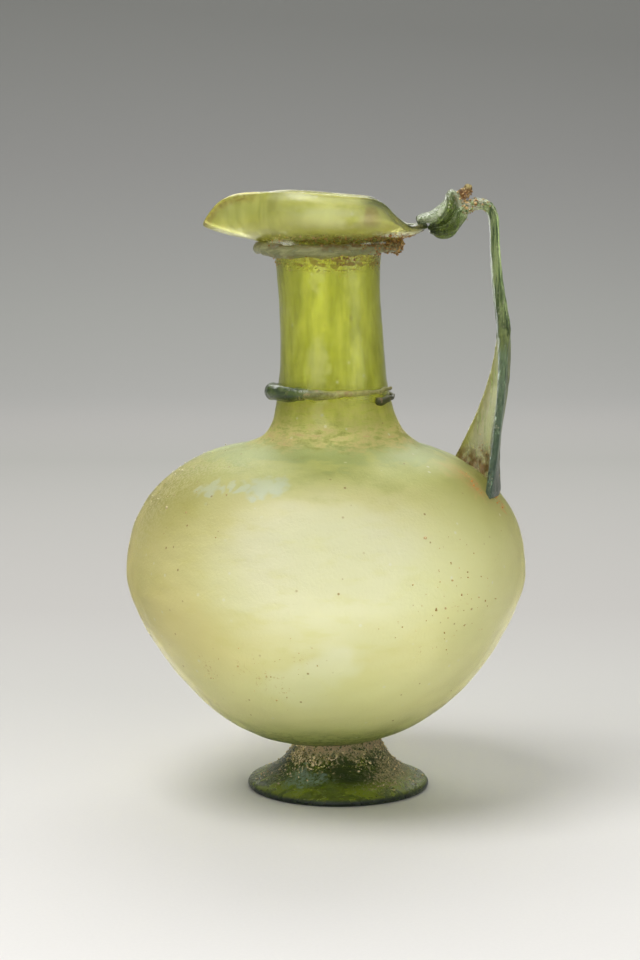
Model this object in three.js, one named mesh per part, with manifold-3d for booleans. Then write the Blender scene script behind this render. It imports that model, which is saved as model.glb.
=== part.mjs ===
// A blown glass jug of late Roman form: a wide belly, a straight neck and a mouth pressed into a spout,
// on a flared foot, with a thread round the neck, another under the rim, and a strap handle that turns
// into a thumb rest on the rim. Millimetres, +Z up, standing on z = 0, the spout along -X and the handle
// along +X. The five pieces are the gathers of glass that the maker joined while they were hot.
import * as THREE from "three";
import Module from "manifold-3d";

const wasm = await Module();
wasm.setup();

const degrees = THREE.MathUtils.degToRad;

// Glass thickness, and the clearance kept between neighbouring pieces
const BELLY_WALL = 2.0;
const NECK_WALL = 2.4;
const LIP_WALL = 2.6;
const SEAT_GAP = 0.3;

// Body: a bowl below its widest level, and above it a shoulder that is part of a superellipse
const STAND_HEIGHT = 17.5;
const BELLY_DROP = 68.1;
const BELLY_RADIUS = 79.2;
const BOWL_TUCK = 9.4;
const BOWL_SPREAD = 56.2;
const BOWL_SAG = 1.5;
const SHOULDER_RISE = 54.3;
const SHOULDER_POWERS = { across: 2.97, up: 2.18 };
const SHOULDER_TURN = degrees(71.7);

// Neck, from the end of the shoulder to the start of the mouth: it sweeps in from the shoulder to its
// foot, then narrows slowly to its waist. Rows are shares of the narrowing left, by share of its length
const NECK_LENGTH = 73.6;
const NECK_FOOT_RADIUS = 24.1;
const NECK_WAIST_RADIUS = 20.5;
const NECK_TOP_RADIUS = 20.9;
const NECK_SWEEP = [
  { share: 0.044, left: 0.48 },
  { share: 0.095, left: 0.2 },
  { share: 0.18, left: 0 },
];
const NECK_TAPER = [
  { share: 0.36, left: 0.35 },
  { share: 0.58, left: 0.08 },
  { share: 0.8, left: 0 },
];

// Mouth: from the top of the neck each side swings out and up to the rim. Its sides turn in a little,
// its spout and its back are pressed out and down, and a pinch stands on either side of the spout. The
// back's low part is broad and ends in two steep flanks
const MOUTH_ROOT = { out: 0.8, up: 7.9 };
const MOUTH_SIDE = { bowl: { out: 40.2, up: 7.4 }, rim: { out: 33.0, up: 23.6 } };
const SPOUT = {
  bowl: { out: 38.0, up: 6.5 },
  rim: { out: 48.3, up: 12.3 },
  width: { out: degrees(20), up: degrees(10.5) },
};
const BACK = {
  bowl: { out: 33.2, up: 7.0 },
  rim: { out: 38.7, up: 11.0 },
  width: { out: degrees(30), up: degrees(42) },
};
const PINCH = { depth: 3.2, at: degrees(147), width: degrees(12) };

// The jug leans a little: the middle of its outline moves along X with height
const DRIFT = [
  { share: 0, x: 0 },
  { share: 0.57, x: 0 },
  { share: 0.6, x: 4.0 },
  { share: 0.7, x: 2.7 },
  { share: 0.9, x: 0.5 },
];

// Foot: a flared cone with a round edge, a flat ring to stand on and a domed hollow under it
const FOOT_RADIUS = 36.1;
const FOOT_TOP_RADIUS = 16.6;
const FOOT_FLARE = { radius: 18.5, height: 9.0 };
const FOOT_EDGE = 1.3;
const FOOT_EDGE_TURNS = [40, 0, -45, -90].map(degrees);
const FOOT_REST_WIDTH = 1.6;
const FOOT_CROWN = 4.9;
const FOOT_OFFSET = 4.7;
const FOOT_BITE = 3.0;

// Threads of glass. Angles are counted from the handle. The neck's thread climbs from one share of the
// neck's length to another, starts with a drop, and is thickest under the spout
const NECK_THREAD = {
  start: degrees(-47),
  end: degrees(352),
  startShare: 0.255,
  endShare: 0.31,
  thin: 0.85,
  thick: 2.9,
  thickAt: degrees(186),
  thickWidth: degrees(105),
  drop: 0.5,
  dropWidth: degrees(23),
  outside: 0.55,
};
const RIM_THREAD = {
  start: degrees(-158),
  end: degrees(232),
  radius: 2.35,
  swell: 0.25,
  swells: 3,
  out: 6.1,
  up: 3.9,
  tilt: 0.6,
  rise: 1.3,
};

// Handle: where its three ribs stand on the shoulder, as an angle and a share of the shoulder's rise.
// A rib bows out along its whole length, or sways out above and in below
const RIB_FEET = [
  { angle: degrees(-22.3), share: 0.646, radius: 1.5, bow: 1.1, sway: 0 },
  { angle: 0, share: 0.655, radius: 1.7, bow: 0.4, sway: 1.1 },
  { angle: degrees(24), share: 0.8, radius: 1.3, bow: 2.6, sway: 0 },
];
const RIB_WIDTH = 0.13;
const RIB_SINK = 0.1;
const WEB_THICKNESS = 1.5;

// The rod above the ribs, from the place where they gather to the rim, measured from the rim's back
const ROD = [
  { out: 30.2, up: -38.9, radius: 2.8, flat: 2.0 },
  { out: 28.4, up: -27.0, radius: 2.6, flat: 1.9 },
  { out: 27.5, up: -19.9, radius: 2.35, flat: 1.7 },
  { out: 26.8, up: -12.1, radius: 2.2, flat: 1.6 },
  { out: 26.3, up: -4.3, radius: 2.05, flat: 1.6 },
  { out: 26.1, up: 1.5, radius: 2.05, flat: 1.6 },
  { out: 25.4, up: 5.7, radius: 2.15, flat: 1.7 },
  { out: 23.3, up: 8.8, radius: 2.25, flat: 1.8 },
  { out: 19.8, up: 9.7, radius: 2.4, flat: 2.0 },
  { out: 16.3, up: 8.7, radius: 2.5, flat: 2.2 },
  { out: 12.8, up: 6.1, radius: 3.0, flat: 2.5 },
  { out: 9.5, up: 1.6, radius: 3.4, flat: 2.9 },
  { out: 6.2, up: -0.1, radius: 3.15, flat: 3.2 },
  { out: 3.0, up: -0.3, radius: 2.4, flat: 3.4 },
  { out: 1.0, up: 0.0, radius: 1.7, flat: 3.4 },
];

// The tab of the thumb rest: from inside the rim it rises over the rod and curls over at its end
const TAB = [
  { out: -7.1, up: 3.5, radius: 0.9, flat: 3.6 },
  { out: -5.1, up: 3.3, radius: 1.2, flat: 4.2 },
  { out: -2.4, up: 4.0, radius: 1.75, flat: 4.6 },
  { out: 2.3, up: 4.8, radius: 2.4, flat: 4.2 },
  { out: 5.4, up: 7.1, radius: 2.3, flat: 3.6 },
  { out: 7.9, up: 10.4, radius: 1.6, flat: 3.2 },
  { out: 8.3, up: 13.1, radius: 1.1, flat: 3.0 },
  { out: 9.4, up: 14.4, radius: 1.0, flat: 2.8 },
  { out: 11.0, up: 13.3, radius: 1.1, flat: 2.6 },
  { out: 12.0, up: 11.0, radius: 1.3, flat: 2.4 },
  { out: 13.2, up: 8.4, radius: 1.5, flat: 2.0 },
];

// Cords of the twisted fold: the first fills the pocket between tab and rod, one rims the near side of
// the tab, and one hangs below the rod
const FOLDS = [
  [
    { out: 3.6, side: 0.3, up: 1.8, radius: 2.4 },
    { out: 7.6, side: 0.3, up: 5.2, radius: 2.9 },
    { out: 10.6, side: 0.2, up: 9.6, radius: 2.3 },
  ],
  [
    { out: 1.6, side: -3.6, up: 0.8, radius: 1.0 },
    { out: 5.4, side: -5.0, up: 4.7, radius: 1.1 },
    { out: 8.3, side: -4.6, up: 9.2, radius: 1.0 },
    { out: 8.2, side: -3.6, up: 12.2, radius: 0.9 },
    { out: 9.2, side: -2.0, up: 14.2, radius: 0.9 },
  ],
  [
    { out: 1.7, side: -1.4, up: -0.6, radius: 0.9 },
    { out: 5.0, side: -2.0, up: -2.7, radius: 1.1 },
    { out: 8.8, side: -2.2, up: -2.2, radius: 1.2 },
    { out: 12.2, side: -1.6, up: 1.6, radius: 1.1 },
    { out: 15.5, side: -0.8, up: 5.9, radius: 1.0 },
  ],
];

// The broken stub that stands behind the tab
const STUB = [
  { out: 13.1, side: 0.2, up: 9.6, radius: 1.8 },
  { out: 13.2, side: 0.4, up: 13.1, radius: 2.1 },
  { out: 15.1, side: 0.6, up: 14.3, radius: 2.1 },
  { out: 16.3, side: 0.5, up: 17.4, radius: 1.3 },
];

// Facets
const ROUND_STEPS = 42;
const SPOUT_CROWDING = 0.3;
const BOWL_STEPS = 11;
const SHOULDER_STEPS = 7;
const NECK_STEPS = 7;
const MOUTH_STEPS = 8;
const LIP_TURN = [{ across: 0.15, up: 0.33 }, { across: 0.85, up: 0.33 }];
const FOOT_STEPS = 34;
const FLARE_STEPS = 7;
const THREAD_STEPS = 33;
const THREAD_SIDES = 7;
const RIB_STEPS = 8;
const STRAP_SHARES = [0, 0.14, 0.36, 0.5, 0.64, 0.86, 1];
const STRAP_EDGE_TURNS = [45, 90, 135].map(degrees);
const ROD_STEPS = 17;
const TAB_STEPS = 11;
const BAND_SIDES = 10;
const CORD_SIDES = 6;

// Closes a stack of rings into one geometry. Rings turn anticlockwise as seen from where the stack heads
function skin(rings, first = middle(rings[0]), last = middle(rings.at(-1))) {
  const count = rings[0].length;
  const points = [...rings.flat(), first, last];
  const firstIndex = points.length - 2;
  const lastIndex = points.length - 1;
  const index = [];
  for (let ring = 0; ring + 1 < rings.length; ring++)
    for (let i = 0; i < count; i++) {
      const a = ring * count + i;
      const b = ring * count + ((i + 1) % count);
      index.push(a, b, b + count, a, b + count, a + count);
    }
  const top = (rings.length - 1) * count;
  for (let i = 0; i < count; i++) {
    const next = (i + 1) % count;
    index.push(firstIndex, next, i, lastIndex, top + i, top + next);
  }
  const geometry = new THREE.BufferGeometry().setFromPoints(points);
  return geometry.setIndex(index);
}

function middle(ring) {
  return ring.reduce((sum, p) => sum.add(p), new THREE.Vector3()).divideScalar(ring.length);
}

function solid(geometry) {
  const vertProperties = geometry.getAttribute("position").array;
  const triVerts = new Uint32Array(geometry.index.array);
  return new wasm.Manifold(new wasm.Mesh({ numProp: 3, vertProperties, triVerts }));
}

function geometryOf(manifold) {
  const { vertProperties, triVerts } = manifold.getMesh();
  const geometry = new THREE.BufferGeometry();
  geometry.setAttribute("position", new THREE.BufferAttribute(new Float32Array(vertProperties), 3));
  geometry.setIndex(new THREE.BufferAttribute(new Uint32Array(triVerts), 1));
  geometry.computeVertexNormals();
  return geometry;
}

// One at the middle of a bump, falling smoothly to nothing a few widths away
function bump(distance, width) {
  return Math.exp(-((distance / width) ** 2));
}

// The same with a broad top and steep flanks
function plateau(distance, width) {
  return Math.exp(-((distance / width) ** 4));
}

// How far the jug's middle line has drifted along X at a share of its height
function driftAt(share) {
  const next = DRIFT.findIndex((row) => row.share > share);
  if (next < 0) return DRIFT.at(-1).x;
  const [low, high] = [DRIFT[next - 1], DRIFT[next]];
  return THREE.MathUtils.lerp(low.x, high.x, THREE.MathUtils.smoothstep(share, low.share, high.share));
}

const BELLY_HEIGHT = STAND_HEIGHT + BELLY_DROP;
const SHOULDER_TOP = BELLY_HEIGHT + SHOULDER_RISE * Math.sin(SHOULDER_TURN) ** (2 / SHOULDER_POWERS.up);
const NECK_TOP = SHOULDER_TOP + NECK_LENGTH;
const RIM_TOP = NECK_TOP + MOUTH_SIDE.rim.up;

// Points of the bowl from just beside its middle to just below the widest level
function bowlPoints() {
  const bowl = new THREE.CubicBezierCurve(
    new THREE.Vector2(0, STAND_HEIGHT),
    new THREE.Vector2(BOWL_SPREAD, STAND_HEIGHT - BOWL_SAG),
    new THREE.Vector2(BELLY_RADIUS, BELLY_HEIGHT - BOWL_TUCK),
    new THREE.Vector2(BELLY_RADIUS, BELLY_HEIGHT));
  return bowl.getSpacedPoints(BOWL_STEPS).slice(1, -1);
}

function shoulderPoint(turn) {
  return new THREE.Vector2(
    BELLY_RADIUS * Math.cos(turn) ** (2 / SHOULDER_POWERS.across),
    BELLY_HEIGHT + SHOULDER_RISE * Math.sin(turn) ** (2 / SHOULDER_POWERS.up));
}

// The shoulder's radius at a share of its rise
function shoulderRadius(share) {
  return BELLY_RADIUS * (1 - share ** SHOULDER_POWERS.up) ** (1 / SHOULDER_POWERS.across);
}

// The neck as a curve of radius and height, from the last part of the shoulder to the mouth
function neckCurve() {
  const start = shoulderPoint(SHOULDER_TURN);
  const narrowing = (rows, from, to) => rows.map(({ share, left }) =>
    new THREE.Vector3(to + left * (from - to), SHOULDER_TOP + share * NECK_LENGTH, 0));
  return new THREE.CatmullRomCurve3([
    new THREE.Vector3(start.x, start.y, 0),
    ...narrowing(NECK_SWEEP, start.x, NECK_FOOT_RADIUS),
    ...narrowing(NECK_TAPER, NECK_FOOT_RADIUS, NECK_WAIST_RADIUS),
    new THREE.Vector3(NECK_TOP_RADIUS, NECK_TOP, 0),
  ], false, "centripetal");
}

// The mouth's outer side at an angle, from the top of the neck (t = 0) to the rim (t = 1)
function mouthPoint(t, angle) {
  const back = Math.abs(Math.atan2(Math.sin(angle), Math.cos(angle)));
  const front = Math.PI - back;
  const low = { out: bump(back, BACK.width.out), up: plateau(back, BACK.width.up) };
  const pressed = (part, axis) =>
    MOUTH_SIDE[part][axis] +
    (SPOUT[part][axis] - MOUTH_SIDE[part][axis]) * bump(front, SPOUT.width[axis]) +
    (BACK[part][axis] - MOUTH_SIDE[part][axis]) * low[axis];
  const pinch = PINCH.depth * bump(back - PINCH.at, PINCH.width);
  const side = new THREE.CubicBezierCurve(
    new THREE.Vector2(NECK_TOP_RADIUS, 0),
    new THREE.Vector2(NECK_TOP_RADIUS + MOUTH_ROOT.out, MOUTH_ROOT.up),
    new THREE.Vector2(pressed("bowl", "out") - pinch / 2, pressed("bowl", "up")),
    new THREE.Vector2(pressed("rim", "out") - pinch, pressed("rim", "up")));
  return side.getPoint(t).add(new THREE.Vector2(0, NECK_TOP));
}

// The whole outer profile from the bottom of the belly to the rim, a function of the angle for each ring
function bodyProfile() {
  const neck = neckCurve();
  const steps = (count, make) => Array.from({ length: count }, (_, i) => make(i / count));
  return [
    ...bowlPoints(),
    ...steps(SHOULDER_STEPS, (t) => shoulderPoint(SHOULDER_TURN * t)),
    ...steps(NECK_STEPS, (t) => new THREE.Vector2().copy(neck.getPoint(t))),
  ].map((point) => () => point).concat(
    steps(MOUTH_STEPS, (t) => (angle) => mouthPoint(t, angle)),
    [(angle) => mouthPoint(1, angle)]);
}

// A point of radius and height stood at an angle round the leaning middle line
function stand(point, angle) {
  const drift = driftAt(point.y / RIM_TOP);
  return new THREE.Vector3(
    drift + point.x * Math.cos(angle), point.x * Math.sin(angle), point.y);
}

function wallAt(height) {
  if (height > NECK_TOP) return LIP_WALL;
  return THREE.MathUtils.lerp(
    BELLY_WALL, NECK_WALL, THREE.MathUtils.smoothstep(height, BELLY_HEIGHT, SHOULDER_TOP));
}

// Rings of the body's outer surface, each point with the direction that faces out of the glass
function bodySheet(profile) {
  const angles = Array.from({ length: ROUND_STEPS }, (_, i) => (2 * Math.PI * i) / ROUND_STEPS)
    .map((angle) => angle + SPOUT_CROWDING * Math.sin(angle));
  const rings = profile.map((pointAt) => angles.map((angle) => stand(pointAt(angle), angle)));
  const normals = rings.map((ring, r) =>
    ring.map((_, i) => {
      const up = rings[Math.min(r + 1, rings.length - 1)][i].clone().sub(rings[Math.max(r - 1, 0)][i]);
      const around = ring[(i + 1) % ROUND_STEPS].clone().sub(ring[(i + ROUND_STEPS - 1) % ROUND_STEPS]);
      return around.cross(up).normalize();
    }));
  return { rings, normals };
}

function offsetRing(row, distance) {
  return SHEET.rings[row].map((p, i) => p.clone().addScaledVector(SHEET.normals[row][i], distance));
}

const PROFILE = bodyProfile();
const SHEET = bodySheet(PROFILE);
const ROWS = PROFILE.map((_, row) => row);
const HEIGHTS = PROFILE.map((pointAt) => pointAt(Math.PI / 2).y);
const RIM_ROW = ROWS.at(-1);

// The hollow body, or the same with its glass made thicker by a margin on both sides
function bodySolid(margin = 0) {
  const outer = ROWS.map((row) => offsetRing(row, margin));
  const inner = ROWS
    .filter((row) => row % 2 === 0 || HEIGHTS[row] > NECK_TOP)
    .map((row) => offsetRing(row, -wallAt(HEIGHTS[row]) - margin));
  const lip = LIP_TURN.map(({ across, up }) => offsetRing(RIM_ROW, -LIP_WALL * across).map((p, i) => {
    const along = SHEET.rings[RIM_ROW][i].clone().sub(SHEET.rings[RIM_ROW - 1][i]).normalize();
    return p.addScaledVector(along, LIP_WALL * up + margin);
  }));
  const bottom = new THREE.Vector3(DRIFT[0].x, 0, STAND_HEIGHT - margin);
  const inside = new THREE.Vector3(DRIFT[0].x, 0, STAND_HEIGHT + BELLY_WALL + margin);
  return solid(skin([...outer, ...lip, ...inner.reverse()], bottom, inside));
}

// The body below its mouth as a full solid, grown by a margin, to seat other pieces on
function bodyMass(margin) {
  const rows = ROWS.filter((row) => HEIGHTS[row] < NECK_TOP);
  const bottom = new THREE.Vector3(DRIFT[0].x, 0, STAND_HEIGHT - margin);
  return solid(skin(rows.map((row) => offsetRing(row, margin)), bottom));
}

// The foot's outline, from the middle of its top, down the flare, round the edge and up into its hollow
function footSolid() {
  const edge = FOOT_RADIUS - FOOT_EDGE;
  const crown = STAND_HEIGHT - FOOT_CROWN;
  const flare = new THREE.QuadraticBezierCurve(
    new THREE.Vector2(FOOT_TOP_RADIUS, STAND_HEIGHT + FOOT_BITE),
    new THREE.Vector2(FOOT_FLARE.radius, FOOT_FLARE.height),
    new THREE.Vector2(FOOT_RADIUS, 2 * FOOT_EDGE));
  const rounding = FOOT_EDGE_TURNS.map((turn) => new THREE.Vector2(
    edge + FOOT_EDGE * Math.cos(turn), FOOT_EDGE + FOOT_EDGE * Math.sin(turn)));
  const hollow = new THREE.QuadraticBezierCurve(
    new THREE.Vector2(edge - FOOT_REST_WIDTH, 0),
    new THREE.Vector2(FOOT_FLARE.radius, crown),
    new THREE.Vector2(0, crown));
  const outline = [
    ...flare.getPoints(FLARE_STEPS).slice(0, -1),
    ...rounding,
    ...hollow.getPoints(FLARE_STEPS).slice(0, -1),
  ];
  const rings = outline.map((p) =>
    Array.from({ length: FOOT_STEPS }, (_, i) => {
      const angle = (-2 * Math.PI * i) / FOOT_STEPS;
      return new THREE.Vector3(FOOT_OFFSET + p.x * Math.cos(angle), p.x * Math.sin(angle), p.y);
    }));
  const top = new THREE.Vector3(FOOT_OFFSET, 0, STAND_HEIGHT + FOOT_BITE);
  const under = new THREE.Vector3(FOOT_OFFSET, 0, crown);
  return solid(skin(rings, top, under)).subtract(bodyMass(SEAT_GAP));
}

// A round cord along a path of points, each with its own radius
function cord(stations, sides) {
  const path = stations.map((s) => s.at);
  const rings = path.map((p, i) => {
    const before = path[Math.max(i - 1, 0)];
    const after = path[Math.min(i + 1, path.length - 1)];
    const along = after.clone().sub(before).normalize();
    const side = new THREE.Vector3(0, 0, 1).cross(along);
    if (side.length() < 0.2) side.set(0, 1, 0);
    side.normalize();
    const up = along.clone().cross(side);
    return Array.from({ length: sides }, (_, k) => {
      const turn = (2 * Math.PI * k) / sides;
      return p.clone()
        .addScaledVector(side, stations[i].radius * Math.cos(turn))
        .addScaledVector(up, stations[i].radius * Math.sin(turn));
    });
  });
  return solid(skin(rings));
}

// The outer radius of the round part of the body at a height
function radiusAt(height) {
  const next = HEIGHTS.findIndex((z) => z >= height);
  const [low, high] = [PROFILE[next - 1](0), PROFILE[next](0)];
  return THREE.MathUtils.mapLinear(height, low.y, high.y, low.x, high.x);
}

// The thread round the neck: a little over one turn, thick opposite the handle and thin where it ends
function neckThread() {
  const { start, end, startShare, endShare, thin, thick, thickAt, thickWidth, drop, dropWidth, outside } =
    NECK_THREAD;
  const stations = [];
  for (let i = 0; i <= THREAD_STEPS; i++) {
    const angle = THREE.MathUtils.lerp(start, end, i / THREAD_STEPS);
    const share = THREE.MathUtils.lerp(startShare, endShare, i / THREAD_STEPS);
    const height = SHOULDER_TOP + share * NECK_LENGTH;
    const radius =
      thin + (thick - thin) * bump(angle - thickAt, thickWidth) + drop * bump(angle - start, dropWidth);
    const out = radiusAt(height) + outside * radius;
    stations.push({ at: stand(new THREE.Vector2(out, height), angle), radius });
  }
  return cord(stations, THREAD_SIDES).subtract(bodySolid(SEAT_GAP));
}

// The thread under the rim, in the corner between neck and mouth, with its ends side by side
function rimThread(margin = 0) {
  const { start, end, radius, swell, swells, out, up, tilt, rise } = RIM_THREAD;
  const stations = [];
  for (let i = 0; i <= THREAD_STEPS; i++) {
    const angle = THREE.MathUtils.lerp(start, end, i / THREAD_STEPS);
    const height = NECK_TOP + up + tilt * Math.cos(angle) + rise * (i / THREAD_STEPS - 0.5);
    const thickness = radius + swell * Math.sin(swells * angle);
    stations.push({
      at: stand(new THREE.Vector2(NECK_TOP_RADIUS + out, height), angle),
      radius: thickness + margin,
    });
  }
  return cord(stations, THREAD_SIDES).subtract(bodySolid(SEAT_GAP - margin));
}

// One ring round a strap whose middle line runs near, centre, far. Its edges are round
function strapRing(near, centre, far, along, radii, web) {
  const across = far.clone().sub(near).normalize();
  const outward = across.clone().cross(along).normalize();
  const middleAt = (q) =>
    near.clone().multiplyScalar(2 * (q - 0.5) * (q - 1))
      .addScaledVector(centre, -4 * q * (q - 1))
      .addScaledVector(far, 2 * q * (q - 0.5));
  const halfAt = (q) => Math.max(
    web / 2, ...radii.map((radius, i) => radius * bump(q - i / 2, RIB_WIDTH)));
  const side = (sign, shares) =>
    shares.map((q) => middleAt(q).addScaledVector(outward, sign * halfAt(q)));
  const edge = (q, sign) => STRAP_EDGE_TURNS.map((turn) => middleAt(q)
    .addScaledVector(outward, sign * halfAt(q) * Math.cos(turn))
    .addScaledVector(across, sign * halfAt(q) * Math.sin(turn)));
  return [
    ...side(1, STRAP_SHARES),
    ...edge(1, 1),
    ...side(-1, [...STRAP_SHARES].reverse()),
    ...edge(0, -1),
  ];
}

const BACK_OF_RIM = stand(mouthPoint(1, 0), 0);
const FAR_SIDE = new THREE.Vector3(0, 1, 0);

// A place measured from the back of the rim
function fromRim({ out, up, side = 0 }) {
  return BACK_OF_RIM.clone().add(new THREE.Vector3(out, side, up));
}

// Three ribs rise from the shoulder with a web between them and gather at the foot of the rod
function strap() {
  const feet = RIB_FEET.map(({ angle, share }) => stand(
    new THREE.Vector2(shoulderRadius(share), BELLY_HEIGHT + share * SHOULDER_RISE), angle));
  const gather = fromRim(ROD[0]);
  const tops = [-1, 0, 1].map((k) => gather.clone().addScaledVector(FAR_SIDE, k * ROD[0].flat));
  const along = tops[1].clone().sub(feet[1]).normalize();
  const rings = [];
  for (let i = 0; i <= RIB_STEPS; i++) {
    const share = THREE.MathUtils.lerp(-RIB_SINK, 1, i / RIB_STEPS);
    const at = feet.map((foot, k) => {
      const p = foot.clone().lerp(tops[k], share);
      const turn = Math.PI * Math.max(share, 0);
      p.x += RIB_FEET[k].bow * Math.sin(turn) - RIB_FEET[k].sway * Math.sin(2 * turn);
      return p;
    });
    const radii = RIB_FEET.map((foot) => THREE.MathUtils.lerp(foot.radius, ROD[0].radius, share ** 4));
    const web = THREE.MathUtils.lerp(WEB_THICKNESS, 2 * ROD[0].radius, Math.max(share, 0) ** 3);
    rings.push(strapRing(at[0], at[1], at[2], along, radii, web));
  }
  return solid(skin(rings));
}

// A bent bar that keeps to the middle plane, its section an oval that changes from station to station
function band(stations, steps) {
  const path = new THREE.CatmullRomCurve3(stations.map(fromRim), false, "centripetal");
  const last = stations.length - 1;
  const rings = Array.from({ length: steps + 1 }, (_, i) => {
    const t = i / steps;
    const low = Math.min(Math.floor(t * last), last - 1);
    const size = (key) => THREE.MathUtils.lerp(stations[low][key], stations[low + 1][key], t * last - low);
    const inward = path.getTangent(t).cross(FAR_SIDE).normalize();
    return Array.from({ length: BAND_SIDES }, (_, k) => {
      const turn = (2 * Math.PI * k) / BAND_SIDES;
      return path.getPoint(t)
        .addScaledVector(FAR_SIDE, (size("radius") + size("flat")) * Math.cos(turn))
        .addScaledVector(inward, size("radius") * Math.sin(turn));
    });
  });
  return solid(skin(rings));
}

function thumbRest() {
  const cords = [...FOLDS, STUB].map((fold) => {
    const path = new THREE.CatmullRomCurve3(fold.map(fromRim), false, "centripetal");
    const last = fold.length - 1;
    const stations = Array.from({ length: 2 * last + 1 }, (_, i) => {
      const low = Math.min(Math.floor(i / 2), last - 1);
      const radius = THREE.MathUtils.lerp(fold[low].radius, fold[low + 1].radius, i / 2 - low);
      return { at: path.getPoint(i / (2 * last)), radius };
    });
    return cord(stations, CORD_SIDES);
  });
  return cords.reduce((sum, piece) => sum.add(piece), band(TAB, TAB_STEPS));
}

// The pocket that the folds close in is filled with glass, so only the largest shell is kept
function handleSolid() {
  const shells = strap()
    .add(band(ROD, ROD_STEPS))
    .add(thumbRest())
    .subtract(bodyMass(SEAT_GAP))
    .subtract(bodySolid(SEAT_GAP))
    .subtract(rimThread(SEAT_GAP))
    .decompose();
  return shells.sort((a, b) => b.volume() - a.volume())[0];
}

const glass = (color, roughness) => new THREE.MeshStandardMaterial({
  color, roughness, metalness: 0, transparent: true, opacity: 0.7, side: THREE.DoubleSide,
});

function piece(name, manifold, material) {
  const mesh = new THREE.Mesh(geometryOf(manifold), material);
  mesh.name = name;
  return mesh;
}

const jug = new THREE.Group();
jug.name = "glass_jug";
jug.add(
  piece("body", bodySolid(), glass("#c3c77c", 0.3)),
  piece("foot", footSolid(), glass("#5d7430", 0.35)),
  piece("neck_thread", neckThread(), glass("#57733f", 0.25)),
  piece("rim_thread", rimThread(), glass("#8d8a58", 0.5)),
  piece("handle", handleSolid(), glass("#66804a", 0.3)));

export default jug;
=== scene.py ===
"""A glass jug of late Roman form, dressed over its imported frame: blown body, foot, threads and handle.

Shapes are worked out in millimetres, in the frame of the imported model, and become metres as meshes are made.
Angles run round the jug's middle line from the handle, and the spout is opposite.
"""

from math import cos, pi, radians, sin

import bmesh
import bpy
import numpy as np
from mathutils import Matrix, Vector, kdtree


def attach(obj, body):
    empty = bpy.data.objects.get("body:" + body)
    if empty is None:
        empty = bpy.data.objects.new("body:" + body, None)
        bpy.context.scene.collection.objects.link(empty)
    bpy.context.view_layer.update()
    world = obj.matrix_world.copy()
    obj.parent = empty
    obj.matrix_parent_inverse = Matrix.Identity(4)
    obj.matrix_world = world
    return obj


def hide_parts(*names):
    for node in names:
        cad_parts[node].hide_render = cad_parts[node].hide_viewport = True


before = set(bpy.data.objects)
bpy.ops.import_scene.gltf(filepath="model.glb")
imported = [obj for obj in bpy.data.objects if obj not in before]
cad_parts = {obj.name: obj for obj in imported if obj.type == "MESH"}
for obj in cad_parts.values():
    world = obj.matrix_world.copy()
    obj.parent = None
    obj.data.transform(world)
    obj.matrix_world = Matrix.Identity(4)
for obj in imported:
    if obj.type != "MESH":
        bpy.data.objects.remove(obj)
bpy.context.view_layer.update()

MM = 0.001
TURN = 2 * pi

# Body sizes, as in the solids
STAND_HEIGHT, BELLY_DROP, BELLY_RADIUS = 17.5, 68.1, 79.2
BOWL_TUCK, BOWL_SPREAD, BOWL_SAG = 9.4, 56.2, 1.5
SHOULDER_RISE, SHOULDER_ACROSS, SHOULDER_UP = 54.3, 2.97, 2.18
SHOULDER_TURN = radians(71.7)
NECK_LENGTH, NECK_FOOT, NECK_WAIST, NECK_TOP_RADIUS = 73.6, 24.1, 20.5, 20.9
NECK_SWEEP = [(0.044, 0.48), (0.095, 0.2), (0.18, 0.0)]
NECK_TAPER = [(0.36, 0.35), (0.58, 0.08), (0.8, 0.0)]
BELLY_WALL, NECK_WALL, LIP_WALL = 2.0, 2.4, 2.6
DRIFT_SHARES = [0, 0.57, 0.6, 0.7, 0.9]
DRIFT_X = [0, 0, 4.0, 2.7, 0.5]
SEAT_GAP = 0.05
INSET = 0.45

BELLY_HEIGHT = STAND_HEIGHT + BELLY_DROP
SHOULDER_TOP = BELLY_HEIGHT + SHOULDER_RISE * sin(SHOULDER_TURN) ** (2 / SHOULDER_UP)
NECK_TOP = SHOULDER_TOP + NECK_LENGTH

# Mouth: root, bowl and rim of its side, and how the spout, the back and the two pinches press it
MOUTH_ROOT = (0.8, 7.9)
SIDE_BOWL, SIDE_RIM = (40.2, 7.4), (33.0, 23.6)
SPOUT_BOWL, SPOUT_RIM = (38.0, 6.5), (48.3, 12.3)
SPOUT_WIDTHS = (radians(20), radians(10.5))
BACK_BOWL, BACK_RIM = (33.2, 7.0), (38.7, 11.0)
BACK_WIDTHS = (radians(30), radians(42))
PINCH_DEPTH, PINCH_AT, PINCH_WIDTH = 2.4, radians(146), radians(16)
RIM_HEIGHT = NECK_TOP + SIDE_RIM[1]
LIP_LIFT, LIP_LIFT_AT, LIP_LIFT_WIDTH = 2.0, radians(60), radians(40)
SPOUT_DROP, SPOUT_DROP_WIDTH = 0.9, radians(20)
LIP_ROLL, LIP_ROLL_FROM = 1.5, 0.84


def bump(distance, width):
    return np.exp(-((distance / width) ** 2))


def clamp(value):
    return np.clip(value, 0, 1)


def unit(vectors):
    return vectors / np.maximum(np.linalg.norm(vectors, axis=-1, keepdims=True), 1e-9)


def plateau(distance, width):
    return np.exp(-((distance / width) ** 4))


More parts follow.
